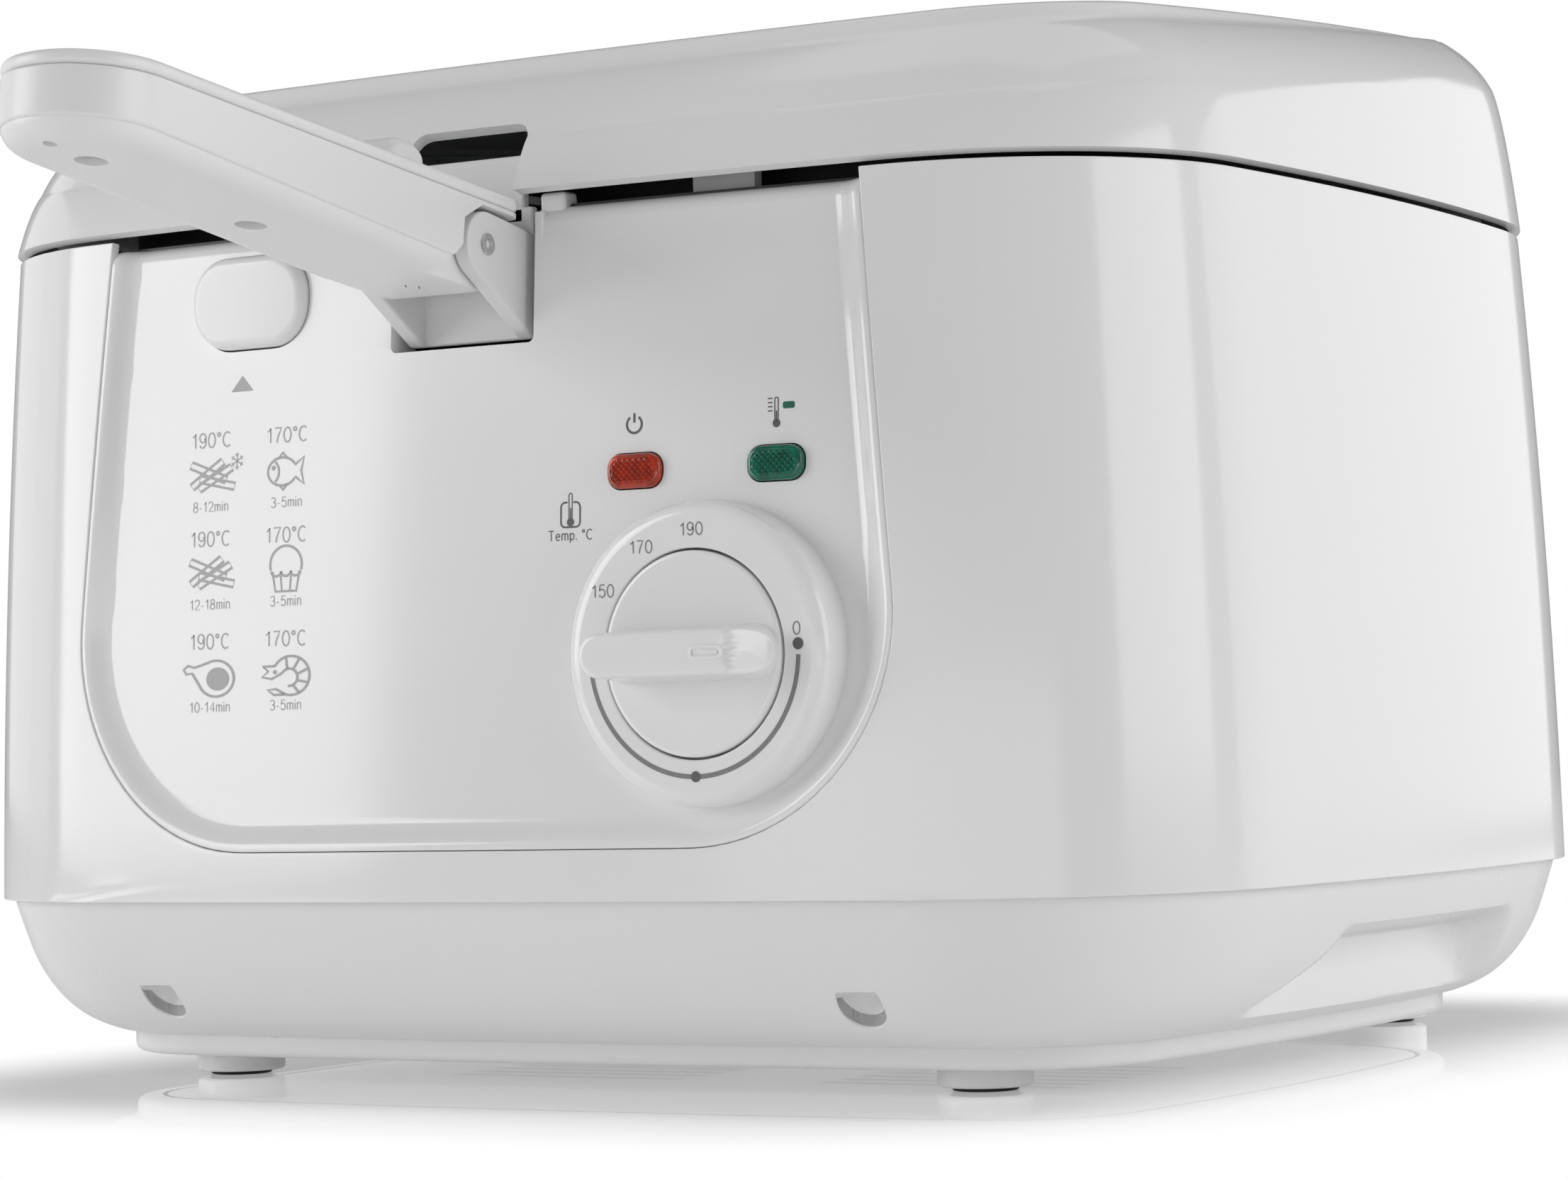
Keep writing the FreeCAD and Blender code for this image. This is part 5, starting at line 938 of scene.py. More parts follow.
# Front panel
def filled(name, outer, holes, step, to_space):
    """Even sheet inside a loop and outside its holes."""
    loops = [outer, *holes]
    points, edges = [], []
    for loop in loops:
        first = len(points)
        points += loop
        edges += [(first + k, first + (k + 1) % len(loop)) for k in range(len(loop))]
    rim = np.array(points)
    low, high = rim.min(0), rim.max(0)
    for row, v in enumerate(np.arange(low[1] + step / 2, high[1], step * 0.87)):
        for u in np.arange(low[0] + step / 2 * (row % 2), high[0], step):
            if np.hypot(*(rim - (u, v)).T).min() > 0.6 * step and inside((u, v), outer) \
                    and not any(inside((u, v), hole) for hole in holes):
                points.append((u, v))
    found = geometry.delaunay_2d_cdt([Vector(point) for point in points], edges, [], 0, 1e-6)
    flat = [tuple(vertex) for vertex in found[0]]
    kept = []
    for face in found[2]:
        middle = tuple(np.mean([flat[k] for k in face], axis=0))
        if inside(middle, outer) and not any(inside(middle, hole) for hole in holes):
            kept.append(face)
    return made(name, to_space(np.array(flat)), kept)


class FRYER_OT_front_panel(bpy.types.Operator):
    """Front panel: coved border, recessed field, rolled top edge and handle notch"""
    bl_idname = "fryer.front_panel"
    bl_label = "Front panel"

    # Inset from the panel's outline and depth behind the shell's surface
    BORDER = [(0.05, 3.4), (0.05, 0.6), (0.2, 0.3), (0.6, 0.16), (1.3, 0.18), (2.0, 0.36), (2.9, 0.8),
              (3.9, 1.45), (4.9, 2.1), (6.0, 2.6), (7.0, 2.88), (7.9, 3.0)]
    # Radius of the rolled top edge in millimetres and the wall in metres
    ROLL, WALL = 4.0, 0.0026

    def execute(self, context):
        top = PANEL_TOP - self.ROLL
        loops = [split_edge(panel_edge(inset, top), 34, 60) for inset, depth in self.BORDER]
        band = made("panel_border", np.concatenate([front_point(loop[:, 0], loop[:, 1], depth)
                                                    for loop, (inset, depth) in zip(loops, self.BORDER)]),
                    grid_faces(len(loops), len(loops[0])))
        rim = [tuple(point) for point in loops[-1]]
        right_top = [(x, top) for x in np.linspace(rim[-1][0], NOTCH_HALF, 18)][1:]
        left_top = [(x, top) for x in np.linspace(-NOTCH_HALF, rim[0][0], 18)][:-1]
        notch = rounded_corners([(NOTCH_HALF, top, 0), (NOTCH_HALF, NOTCH_LOW, 1.5),
                                 (-NOTCH_HALF, NOTCH_LOW, 1.5), (-NOTCH_HALF, top, 0)], 1.5, 5)[1:-1]
        x, z, width, height, corner = BUTTON
        holes = [rounded_box(width / 2 + 0.35, height / 2 + 0.35, corner + 0.35, (x, z), 12)]
        holes += [rounded_box(LAMP_WIDTH / 2 + 0.25, LAMP_HEIGHT / 2 + 0.25, LAMP_CORNER + 0.25, (lamp, LAMP_Z))
                  for lamp in LAMPS.values()]
        outer = rim + right_top + spaced(notch, 3.0, closed=False) + left_top
        field = filled("panel_field", outer, holes, 4.6,
                       lambda flat: front_point(flat[:, 0], flat[:, 1], PANEL_RECESS))
        edges = []
        for side in (0, -1):
            line = [(loop[side][0], depth) for loop, (inset, depth) in zip(loops, self.BORDER)]
            run = right_top if side else left_top[::-1]
            edges.append(line + [(x, PANEL_RECESS) for x, z in run])
        rolls = [self.rolled(edge, top) for edge in edges]
        panel = welded(joined("control_panel", band, field, *rolls), distance=4e-5)
        facing(panel, (0, -1, 0))
        thickened(panel, self.WALL)
        softened(panel, sizes().edge_round * 0.4, angle=50)
        panel = joined("control_panel", panel, *self.notch_walls())
        finished(panel, "fryer", "white_gloss", ["front_panel"], sharp=44)
        return {"FINISHED"}

    def rolled(self, edge, top):
        """Top edge rolled over to the back."""
        turns = np.linspace(0, math.pi / 2, 8)
        levels = [(top + self.ROLL * math.sin(turn), self.ROLL * (1 - math.cos(turn))) for turn in turns]
        levels.append((PANEL_TOP, self.ROLL + 3.0))
        x = np.array([entry[0] for entry in edge])
        depth = np.array([entry[1] for entry in edge])
        points = np.concatenate([front_point(x, np.full(len(x), z), depth + back) for z, back in levels])
        return made("panel_roll", points, grid_faces(len(levels), len(x)))

    def notch_walls(self):
        """Return walls, floor and guide posts of the handle notch."""
        walls = [block("notch_floor", (-NOTCH_OUT, NOTCH_OUT), (-147.0, -137.0), (166.5, NOTCH_LOW), 0.4)]
        walls += [block("notch_wall", ends, (-145.6, -137.0), (166.5, 198.0), 0.4)
                  for ends in both_sides(NOTCH_HALF, NOTCH_OUT)]
        walls += [block("guide_post", ends, (-143.6, -138.0), (188.0, 202.3), 1.0) for ends in both_sides(19.9, 26.7)]
        return walls


# Controls on the panel
class FRYER_OT_controls(bpy.types.Operator):
    """Dial ring, knob, pilot lamp lenses and release button"""
    bl_idname = "fryer.controls"
    bl_label = "Controls"

    def execute(self, context):
        ring = turned_about("dial_collar", [
            (22.9, 140.0), (22.9, 155.6), (23.05, 155.88), (23.35, 156.0), (29.4, 156.0), (30.8, 155.85),
            (31.9, 155.35), (32.7, 154.5), (33.15, 153.3), (33.3, 151.8), (33.35, 149.0), (33.6, 146.2),
            (33.8, 144.8), (33.8, 140.0), (22.9, 140.0)], 128)
        stood(ring, KNOB_X, 0, KNOB_Z, FORWARD)
        finished(ring, "fryer", "white_gloss", ["dial_ring"], sharp=60)
        self.make_knob()
        for (node, x), slot in zip(LAMPS.items(), ("red_lens", "green_lens")):
            self.make_lens(node, x, slot)
        x, z, width, height, corner = BUTTON
        cap = plate("release_cap", spaced(rounded_box(width / 2, height / 2, corner, (x, z), 14), 2.5), [],
                    141.8, 148.2, 2.2, on_front, segments=6)
        stem = block("release_stem", (x - 8, x + 8), (-143.0, -137.9), (187.4, 190.2), 0.3)
        finished(joined("lid_release", cap, stem), "release_latch", "white_gloss", ["release_button"], sharp=60)
        return {"FINISHED"}

    def make_knob(self):
        """Knob: a disc, a grip that slopes at one end, and the mark on it."""
        disc = turned_about("knob_disc", [(0, 151.2), (22.4, 151.2), (22.4, 155.9), (22.25, 156.3), (21.9, 156.55),
                                          (21.3, 156.65), (15.0, 156.6), (0, 156.6)], 128)
        stood(disc, KNOB_X, 0, KNOB_Z, FORWARD)
        half, left, right = 4.9, -22.0, 21.8
        slope_start, slope_end, low, high = 15.6, 21.6, 156.3, 168.2

        def grip_place(u, v, w):
            fall = float(eased((u - slope_start) / (slope_end - slope_start)))
            flare = 1 + 0.22 * (1 - (w - low) / (high - low)) ** 2
            return KNOB_X + u, -(low + (w - low) * (1 - 0.8 * fall)), KNOB_Z + v * flare

        rings = []
        for inset, w in ((0, low), (0, 160.0), (0, 164.0), (0, high - 1.1), (0.1, high - 0.65), (0.4, high - 0.25),
                         (0.8, high - 0.06), (1.3, high), (2.4, high), (3.6, high), (4.82, high)):
            corners = [(left + inset, inset - half), (right - inset, inset - half), (right - inset, half - inset),
                       (left + inset, half - inset)]
            loop = rounded_corners(corners, half - inset - 0.03, 12)
            loop = along(loop + loop[:1], 241)[:-1]
            rings.append(at_level(loop, w))
        grip = stacked("knob_grip", rings, grip_place)
        rim, hollow = rounded_box(4.3, 1.5, 1.4, (10.9, 0)), rounded_box(3.6, 0.8, 0.75, (10.9, 0))
        mark = plate("mark_rim", rim, [hollow], high - 0.3, high + 0.32, 0.14, grip_place)
        bar = block("mark_bar", (KNOB_X + 9.4, KNOB_X + 13.9), (-high - 0.25, 0.6 - high),
                    (KNOB_Z - 0.4, KNOB_Z + 0.4), 0.2)
        knob = joined("thermostat_knob", disc, grip, mark, bar)
        finished(knob, "knob", "white_gloss", ["temperature_knob"], sharp=50)

    def make_lens(self, node, x, slot):
        """Rounded lens with a field of small crossed facets."""
        face = -float(front_point(np.array([x]), np.array([LAMP_Z]), PANEL_RECESS)[0, 1]) + 1.4
        edge = spaced(rounded_box(LAMP_WIDTH / 2, LAMP_HEIGHT / 2, LAMP_CORNER, (x, LAMP_Z), 10), 1.5)
        body = plate("lens_body", edge, [], face - 11.0, face, 1.1, on_front, segments=4)
        field = rounded_box(LAMP_WIDTH / 2 - 1.3, LAMP_HEIGHT / 2 - 1.3, LAMP_CORNER - 1.3, (x, LAMP_Z), 10)
        pitch, rise, points, faces = 1.45, 0.5, [], []
        for i in range(-9, 10):
            for j in range(-9, 10):
                u, v = x + pitch * (i + j) / 2, LAMP_Z + pitch * (i - j) / 2
                if not inside((u, v), field):
                    continue
                first = len(points)
                half = pitch / 2
                points += [(u - half, -face, v), (u, -face, v - half), (u + half, -face, v), (u, -face, v + half),
                           (u, -face - rise, v)]
                faces += [(first + k, first + (k + 1) % 4, first + 4) for k in range(4)]
        hatch = facing(made("lens_hatch", points, faces), (0, -1, 0))
        thing = joined(node.replace("lens", "cap"), body, hatch)
        finished(thing, "fryer", slot, [node], sharp=25)


# Prints
def ribbon(points, width, closed=False):
    """Flat line of a width along 2D points: corners and quads."""
    points = [np.array(point, float) for point in points]
    total = len(points)
    sides = []
    for k in range(total):
        before = points[k - 1] if closed or k else points[k]
        after = points[(k + 1) % total] if closed or k < total - 1 else points[k]
        way = after - before
        way = way / (np.hypot(*way) or 1)
        sides.append((points[k] + np.array([-way[1], way[0]]) * width / 2,
                      points[k] - np.array([-way[1], way[0]]) * width / 2))
    corners = [tuple(corner) for side in sides for corner in side]
    last = total if closed else total - 1
    quads = [(2 * k, 2 * k + 1, (2 * k + 3) % (2 * total), (2 * k + 2) % (2 * total)) for k in range(last)]
    return corners, quads


def arc(centre, radius, start, end, count=24, squeeze=1.0):
    """Points of an arc, angles in degrees."""
    return [(centre[0] + radius * math.cos(a), centre[1] + squeeze * radius * math.sin(a))
            for a in np.radians(np.linspace(start, end, count))]


def disc(centre, radius, count=24):
    """Filled circle: corners and one face."""
    return arc(centre, radius, 0, 360 - 360 / count, count), [tuple(range(count))]


# Width and strokes of each sign in a box one high
LETTERS = {
    "0": (0.56, [arc((0.28, 0.5), 0.28, 90, 450, 24, 1.79)]),
    "1": (0.42, [[(0.05, 0.76), (0.19, 0.84), (0.29, 1.0), (0.29, 0.0)]]),
    "2": (0.56, [arc((0.28, 0.72), 0.26, 170, -30, 14, 1.08) + [(0.03, 0.0), (0.56, 0.0)]]),
    "3": (0.54, [arc((0.27, 0.75), 0.24, 160, -90, 14, 1.04), arc((0.27, 0.26), 0.27, 90, -160, 14, 0.96)]),
    "4": (0.58, [[(0.42, 0.0), (0.42, 1.0), (0.02, 0.3), (0.58, 0.3)]]),
    "5": (0.56, [[(0.52, 1.0), (0.13, 1.0), (0.07, 0.53)] + arc((0.28, 0.33), 0.27, 130, -155, 16, 1.2)]),
    "7": (0.56, [[(0.03, 1.0), (0.55, 1.0), (0.36, 0.62), (0.24, 0.3), (0.2, 0.0)]]),
    "8": (0.56, [arc((0.28, 0.75), 0.22, -90, 270, 18, 1.1), arc((0.28, 0.26), 0.27, 90, 450, 18, 0.96)]),
    "9": (0.56, [arc((0.28, 0.69), 0.26, 0, 360, 20, 1.2), arc((0.27, 0.36), 0.27, 60, -150, 12, 1.3)]),
    "-": (0.32, [[(0.03, 0.36), (0.28, 0.36)]]),
    "m": (0.7, [[(0.04, 0.0), (0.04, 0.7)], arc((0.2, 0.5), 0.16, 180, 0, 8, 1.2) + [(0.36, 0.0)],
                arc((0.52, 0.5), 0.16, 180, 0, 8, 1.2) + [(0.68, 0.0)]]),
    "i": (0.08, [[(0.04, 0.0), (0.04, 0.7)], [(0.04, 0.88), (0.04, 1.0)]]),
    "n": (0.48, [[(0.04, 0.0), (0.04, 0.7)], arc((0.24, 0.47), 0.2, 180, 0, 10, 1.15) + [(0.44, 0.0)]]),
    "C": (0.66, [arc((0.36, 0.5), 0.34, 50, 310, 24, 1.47)]),
    "T": (0.6, [[(0.0, 1.0), (0.6, 1.0)], [(0.3, 1.0), (0.3, 0.0)]]),
    "e": (0.46, [[(0.04, 0.37), (0.44, 0.37)] + arc((0.24, 0.35), 0.21, 5, 320, 18, 1.6)]),
    "p": (0.48, [[(0.04, -0.28), (0.04, 0.7)], arc((0.25, 0.35), 0.21, 90, 450, 16, 1.6)]),
    ".": (0.1, [[(0.05, 0.0), (0.05, 0.12)]]),
    "°": (0.26, [arc((0.13, 0.86), 0.12, 90, 450, 12)]),
    " ": (0.2, []),
}


def words(text, height, centre):
    """Stroke lettering as 2D parts, centred on a place."""
    gap, widen = 0.2, 1.08
    width = sum(LETTERS[sign][0] + gap for sign in text) - gap
    x, parts = -width / 2, []
    for sign in text:
        for stroke in LETTERS[sign][1]:
            parts.append(ribbon([(centre[0] + widen * (x + u) * height, centre[1] + (v - 0.5) * height)
                                 for u, v in stroke], 0.11 * height))
        x += LETTERS[sign][0] + gap
    return parts


def printed(name, parts, to_space, ink_name):
    """Thin print from 2D parts laid on a surface."""
    corners, faces = [], []
    for part_corners, part_faces in parts:
        faces += [tuple(len(corners) + k for k in face) for face in part_faces]
        corners += part_corners
    thing = made(name, to_space(np.array(corners)), faces)
    work = bmesh.new()
    work.from_mesh(thing.data)
    for face in work.faces:
        if face.normal.y > 0:
            face.normal_flip()
    work.to_mesh(thing.data)
    work.free()
    finished(thing, "fryer", "white_gloss", finish=ink_name)


def on_panel(flat):
    """Just above the panel's field."""
    return front_point(flat[:, 0], flat[:, 1], PANEL_RECESS - sizes().print_lift / MM)


def on_dial(flat, layers=1):
    """Just above the dial's face, or above a print on it."""
    lift = DIAL_FACE + layers * sizes().print_lift / MM
    return np.column_stack([flat[:, 0] + KNOB_X, np.full(len(flat), -lift), flat[:, 1] + KNOB_Z])


def moved(parts, x, z, wide=1.0):
    """Sign drawn about its middle, set in its place and drawn wider."""
    return [([(x + u * wide, z + v) for u, v in corners], faces) for corners, faces in parts]


def chips(line):
    """Four crossed chips."""
    parts = []
    for turn, x, z, length in ((36, -0.9, 0.5, 9.6), (30, 1.1, -0.5, 9.4), (-24, -0.6, 0.9, 9.8),
                               (-14, 1.6, -1.6, 9.0)):
        cos, sin = math.cos(math.radians(turn)), math.sin(math.radians(turn))
        box = [(-length / 2, -0.8), (length / 2, -0.8), (length / 2, 0.8), (-length / 2, 0.8)]
        parts.append(ribbon([(x + u * cos - v * sin, z + u * sin + v * cos) for u, v in box], line, True))
    return parts


def frost(line):
    """Six-armed frost sign with forked arms."""
    parts = []
    for a in np.radians(np.arange(30, 390, 60)):
        tip, fork = [(reach * math.cos(a), reach * math.sin(a)) for reach in (2.0, 1.2)]
        parts.append(ribbon([(0, 0), tip], 0.5 * line))
        parts += [ribbon([fork, (fork[0] + 0.7 * math.cos(a + side), fork[1] + 0.7 * math.sin(a + side))], 0.4 * line)
                  for side in (0.9, -0.9)]
    return parts


def fish(line):
    """Fish that faces left."""
    body = arc((-1.3, 0), 4.3, 26, 334, 34, 0.76)
    tail = [(5.2, -3.2), (4.3, 0), (5.2, 3.2)]
    fins = [ribbon([(-2.4, 3.1), (-1.2, 4.4), (0.2, 3.0)], line),
            ribbon([(-2.2, -3.1), (-1.0, -4.3), (0.1, -3.0)], line)]
    gill = arc((-5.2, 0), 2.9, -52, 52, 12)
    return [ribbon(body + tail, line, True), ribbon(gill, line), disc((-3.9, 0.9), 0.6), *fins]


def cake(line):
    """Small cake in a paper cup."""
    cup = [(-4.0, -0.4), (-3.1, -5.0), (3.1, -5.0), (4.0, -0.4)]
    top = arc((0, 1.2), 4.7, -18, 198, 26, 0.92)
    frill = [point for k in (-1, 0, 1) for point in arc((2.9 * k, -0.4), 1.45, 180, 360, 8, 0.75)]
    ribs = [ribbon([(1.5 * k, -1.4), (1.2 * k, -4.8)], line * 0.8) for k in (-1, 1)]
    return [ribbon(cup, line), ribbon(top, line), ribbon(frill, line), *ribs]


def drumstick(line):
    """Drumstick with its bone to the left."""
    meat = arc((1.5, -0.3), 4.2, 118, -158, 32)
    bone = [(-4.2, 1.1), (-5.6, 0.9), (-6.2, 2.0), (-5.2, 2.9), (-3.6, 2.4)]
    seam = arc((-0.2, -2.0), 4.2, 10, 62, 12)
    return [ribbon(meat + bone, line, True), disc((1.9, -0.4), 2.7), ribbon(seam, line * 0.9)]


def shrimp(line):
    """Curled shrimp with its head to the left."""
    back = arc((1.3, -0.2), 4.5, 150, -112, 30)
    front = arc((0.9, -0.6), 2.0, 150, -100, 20)
    rings = [ribbon([(0.9 + 2.0 * math.cos(a), -0.6 + 2.0 * math.sin(a)),
                     (1.3 + 4.5 * math.cos(a), -0.2 + 4.5 * math.sin(a))], line)
             for a in np.radians([105, 62, 20, -22, -64])]
    head = [(-2.6, 2.1), (-5.6, 2.0), (-4.2, 0.9), (-5.8, -0.4), (-3.4, -0.9), (-0.9, 0.4)]
    tail = [(-0.4, -4.3), (-2.4, -3.2), (-4.4, -3.4), (-2.8, -4.6), (-0.4, -4.5)]
    return [ribbon(back, line), ribbon(front, line), *rings, ribbon(head, line), ribbon(tail, line, True),
            disc((-2.6, 0.7), 0.5)]


def thermometer(height):
    """Thermometer sign: a tube and a filled bulb."""
    top, low = height / 2 - 0.4, 0.8 - height / 2
    tube = [(-0.42, low + 0.7), (-0.42, top)] + arc((0, top), 0.42, 180, 0, 6) + [(0.42, low + 0.7)]
    return [ribbon(tube, 0.26), disc((0, low), 0.95), ribbon([(0, low), (0, 0.3)], 0.34)]


class FRYER_OT_prints(bpy.types.Operator):
    """Food guide, lamp signs, temperature sign and dial numbers"""
    bl_idname = "fryer.prints"
    bl_label = "Prints"

    # Middle of both columns of the food guide; heights of a row's three lines, its long time and its pictures
    LEFT, RIGHT = -72.6, -49.6
    ROWS = [(151.9, 143.4, 136.3, "8-12min", chips, fish), (128.7, 120.6, 113.4, "12-18min", chips, cake),
            (104.7, 96.3, 89.4, "10-14min", drumstick, shrimp)]
    # Pictures that are drawn wider than their sketch
    WIDER = {chips: 1.22, drumstick: 1.3, shrimp: 1.22}

    def execute(self, context):
        line = sizes().print_line / MM
        guide = [([(-66.7, 162.8), (-59.9, 162.8), (-63.3, 166.5)], [(0, 1, 2)])]
        for temp, icon, time, span, left, right in self.ROWS:
            columns = ((self.LEFT, "190°C", span, left), (self.RIGHT, "170°C", "3-5min", right))
            for x, heat, minutes, draw in columns:
                guide += words(heat, 3.4, (x, temp)) + words(minutes, 2.3, (x, time))
                guide += moved(draw(line), x, icon, self.WIDER.get(draw, 1.0))
        guide += moved(frost(line), self.LEFT + 8.0, 146.6)
        printed("food_guide", guide, on_panel, "light_print")
        power = [ribbon(arc((0, 0), 1.9, 125, 415, 30), 0.55), ribbon([(0, 0.4), (0, 2.5)], 0.55)]
        signs = moved(power, 46.4, 148.6) + moved(thermometer(6.4), 82.0, 149.3)
        signs += [ribbon([(79.9, 149.6 + k), (81.0, 149.6 + k)], 0.28) for k in (0.0, 0.9, 1.8, 2.7)]
        # Open frame round the larger thermometer
        border = [(-0.8, 2.2)] + arc((-1.4, 1.1), 1.1, 90, 180, 6) + arc((-1.4, -2.2), 1.1, 180, 270, 6) \
            + arc((1.4, -2.2), 1.1, 270, 360, 6) + arc((1.4, 1.1), 1.1, 0, 90, 6) + [(0.8, 2.2)]
        signs += moved([ribbon(border, 0.42)], 29.9, 130.0) + moved(thermometer(7.2), 29.9, 130.6)
        signs += words("Temp. °C", 2.2, (29.9, 124.9))
        printed("control_signs", signs, on_panel, "dark_print")
        flag = rounded_box(1.45, 0.75, 0.45, (85.0, 150.7), 5)
        printed("ready_sign", [(flag, [tuple(range(len(flag)))])], on_panel, "green_print")
        numbers = {"190": (0.3, 27.0), "170": (-12.7, 23.6), "150": (-22.9, 14.4), "0": (26.2, 4.7)}
        dial = [part for number, place in numbers.items() for part in words(number, 2.7, place)]
        printed("dial_numbers", dial, on_dial, "middle_print")
        printed("dial_arc", [ribbon(arc((0, 0), 26.5, -2, -178, 90), 1.05)], on_dial, "middle_print")
        marks = [disc((26.5, 1.4), 1.3), disc((0, -26.5), 1.2)]
        printed("dial_marks", marks, lambda flat: on_dial(flat, 2), "dark_print")
        return {"FINISHED"}


# Handle and its bracket
def handle_loop(inset):
    """Handle seen from above, drawn in by an inset."""
    half, tip, heel = HANDLE_HALF - inset, HANDLE_TIP - inset, HANDLE_HEEL - inset
    corner = max(0.6, 3.5 - inset)
    return spaced(rounded_corners([(-half, heel, corner), (-half, -tip, half), (half, -tip, half),
                                   (half, heel, corner)], half, 22), 5.0)


def belly(v):
    """Underside of the handle at a place along it."""
    run = np.interp(v, [-133.0, -15.5], [-5.5, -9.5])
    return np.where(v > 4.7, np.minimum(-9.5 + (v - 4.7), -3.2), run)


class FRYER_OT_handle(bpy.types.Operator):
    """Folding handle with its cover, thumb slide, bracket and pin"""
    bl_idname = "fryer.handle"
    bl_label = "Handle"

    # Width of the belly's rounding, height of its start above the belly and top of the straight side
    ROUND, SIDE, SIDE_TOP = 7.0, 4.6, 8.5

    def execute(self, context):
        # Inset and height of the upper rings
        rings = [at_level(self.resampled(inset), w)
                 for inset, w in ((0.9, 8.92), (0.2, 8.92), (0.05, 8.8), (0, self.SIDE_TOP))]
        outer = self.resampled(0)
        side = belly(outer[:, 1]) + self.SIDE
        rings += [at_level(outer, self.SIDE_TOP + (side - self.SIDE_TOP) * share) for share in (0.3, 0.65, 0.97, 1.0)]
        # Inset of the lower rings and their height above the belly
        lower = [(0.15, self.SIDE - 0.25), (0.45, self.SIDE - 0.4), (0.8, self.SIDE - 0.45)]
        lower += [(0.8 + self.ROUND * (1 - math.cos(turn)), (self.SIDE - 0.45) * (1 - math.sin(turn)))
                  for turn in np.linspace(0.15, math.pi / 2, 9)]
        lower += [(inset, 0.0) for inset in (10.5, 13.0, 15.5, 17.6)]
        for inset, rise in lower:
            loop = self.resampled(inset)
            rings.append(at_level(loop, belly(loop[:, 1]) + rise))
        body = stacked("handle_grip", rings, on_handle)
        carved(body, *self.hollows(), solver="MANIFOLD")
        finished(body, "handle", "white_satin", ["handle_body"], sharp=42)

        cover = plate("handle_lid", handle_loop(0), [rounded_box(3.3, 8, 1.0, (0, -17), 4)], HANDLE_SPLIT + 0.02,
                      HANDLE_TOP, 1.3, on_handle, segments=5)
        finished(cover, "handle", "white_satin", ["handle_cover"], sharp=42)
        tab = plate("thumb_slide", spaced(rounded_corners(
            [(-9.2, 12.5, 1.0), (-11.0, 19.0, 3.0), (-15.0, 20.7, 3.0), (-22.0, 20.7, 4.0), (-25.0, 15.5, 2.0),
             (-25.0, 12.5, 0.4)], 1.0, 8), 1.5), [], -7.0, 7.0, 2.2, across_handle, segments=5)
        stem = plate("slide_stem", rounded_box(3.0, 5.4, 0.8, (0, -14.8), 4), [], 6.3, 14.0, 0.3, on_handle)
        finished(joined("thumb_slide", tab, stem), "lock_slide", "white_satin", ["handle_lock"], sharp=42)
        self.make_bracket()
        return {"FINISHED"}

    def resampled(self, inset):
        """Handle outline with the same number of points at each inset."""
        loop = handle_loop(inset)
        return along(loop + loop[:1], 181)[:-1]

    def hollows(self):
        """Ear pockets, screw wells, tip hole and the slide's room."""
        pocket = [(16, 7.9), (-4.4, 7.9), (-10.9, 3.7), (-10.9, -2.2), (-20.4, -12.5), (16, -12.5)]
        cuts = [prism("pocket", pocket, *ends, across_handle) for ends in both_sides(12.7, 31.0)]
        for v, radius, high in ((-61.9, 3.5, -2.5), (-113.9, 3.5, -2.5), (-126.4, 1.5, -3.5)):
            cuts.append(prism("well", circle((0, v), radius, 30, 0.05), -14.0, high, on_handle))
        cuts.append(prism("room", rounded_box(3.3, 8.0, 0.8, (0, -17), 4), 6.0, 10.0, on_handle))
        return cuts

    def make_bracket(self):
        """Bracket of the basket with its two ears, and the toothed pin through them."""
        pieces = [block("bracket_low", (-17, 17), (-142.5, -140.0), (170.0, 199.8), 0.6),
                  block("bracket_neck", (-14.8, 14.8), (-142.5, -140.0), (196.0, 211.5), 0.6),
                  block("bracket_arm", (-12, 12), (-141.5, -67.0), (201.3, 203.3), 0.4),
                  block("bracket_heel", (-12, 12), (-74.0, -67.0), (196.0, 202.5), 0.4)]
        pin = (PIN_Y, PIN_Z)
        corners = circle(pin, 7.4, 40) + [(-164.4, 195.6), (-141.4, 193.6), (-141.4, 170.1), (-143.5, 170.1),
                                          (-166.3, 185.6)]
        hull = [corners[k] for k in geometry.convex_hull_2d([Vector(corner) for corner in corners])]
        pieces += [plate("bracket_ear", hull, [], *ends, 0.6, on_side) for ends in both_sides(13.0, 17.0)]
        finished(joined("handle_bracket", *pieces), "fryer", "light_grey", ["basket_bracket"], sharp=42)
        teeth = 22
        tips, roots = circle(pin, 2.5, 2 * teeth), circle(pin, 2.12, 2 * teeth)
        star = [(tips if k % 2 else roots)[k] for k in range(2 * teeth)]
        shaft = plate("pin_shaft", arc(pin, 2.5, 0, 350, 36), [], -16.6, 16.6, 0.2, on_side)
        ends = [plate("pin_end", star, [circle(pin, 1.1, 20)], *ends, 0.12, on_side)
                for ends in both_sides(16.6, 17.6)]
        finished(joined("hinge_rivet", shaft, *ends), "fryer", "stainless_steel", ["handle_pin"], sharp=35)


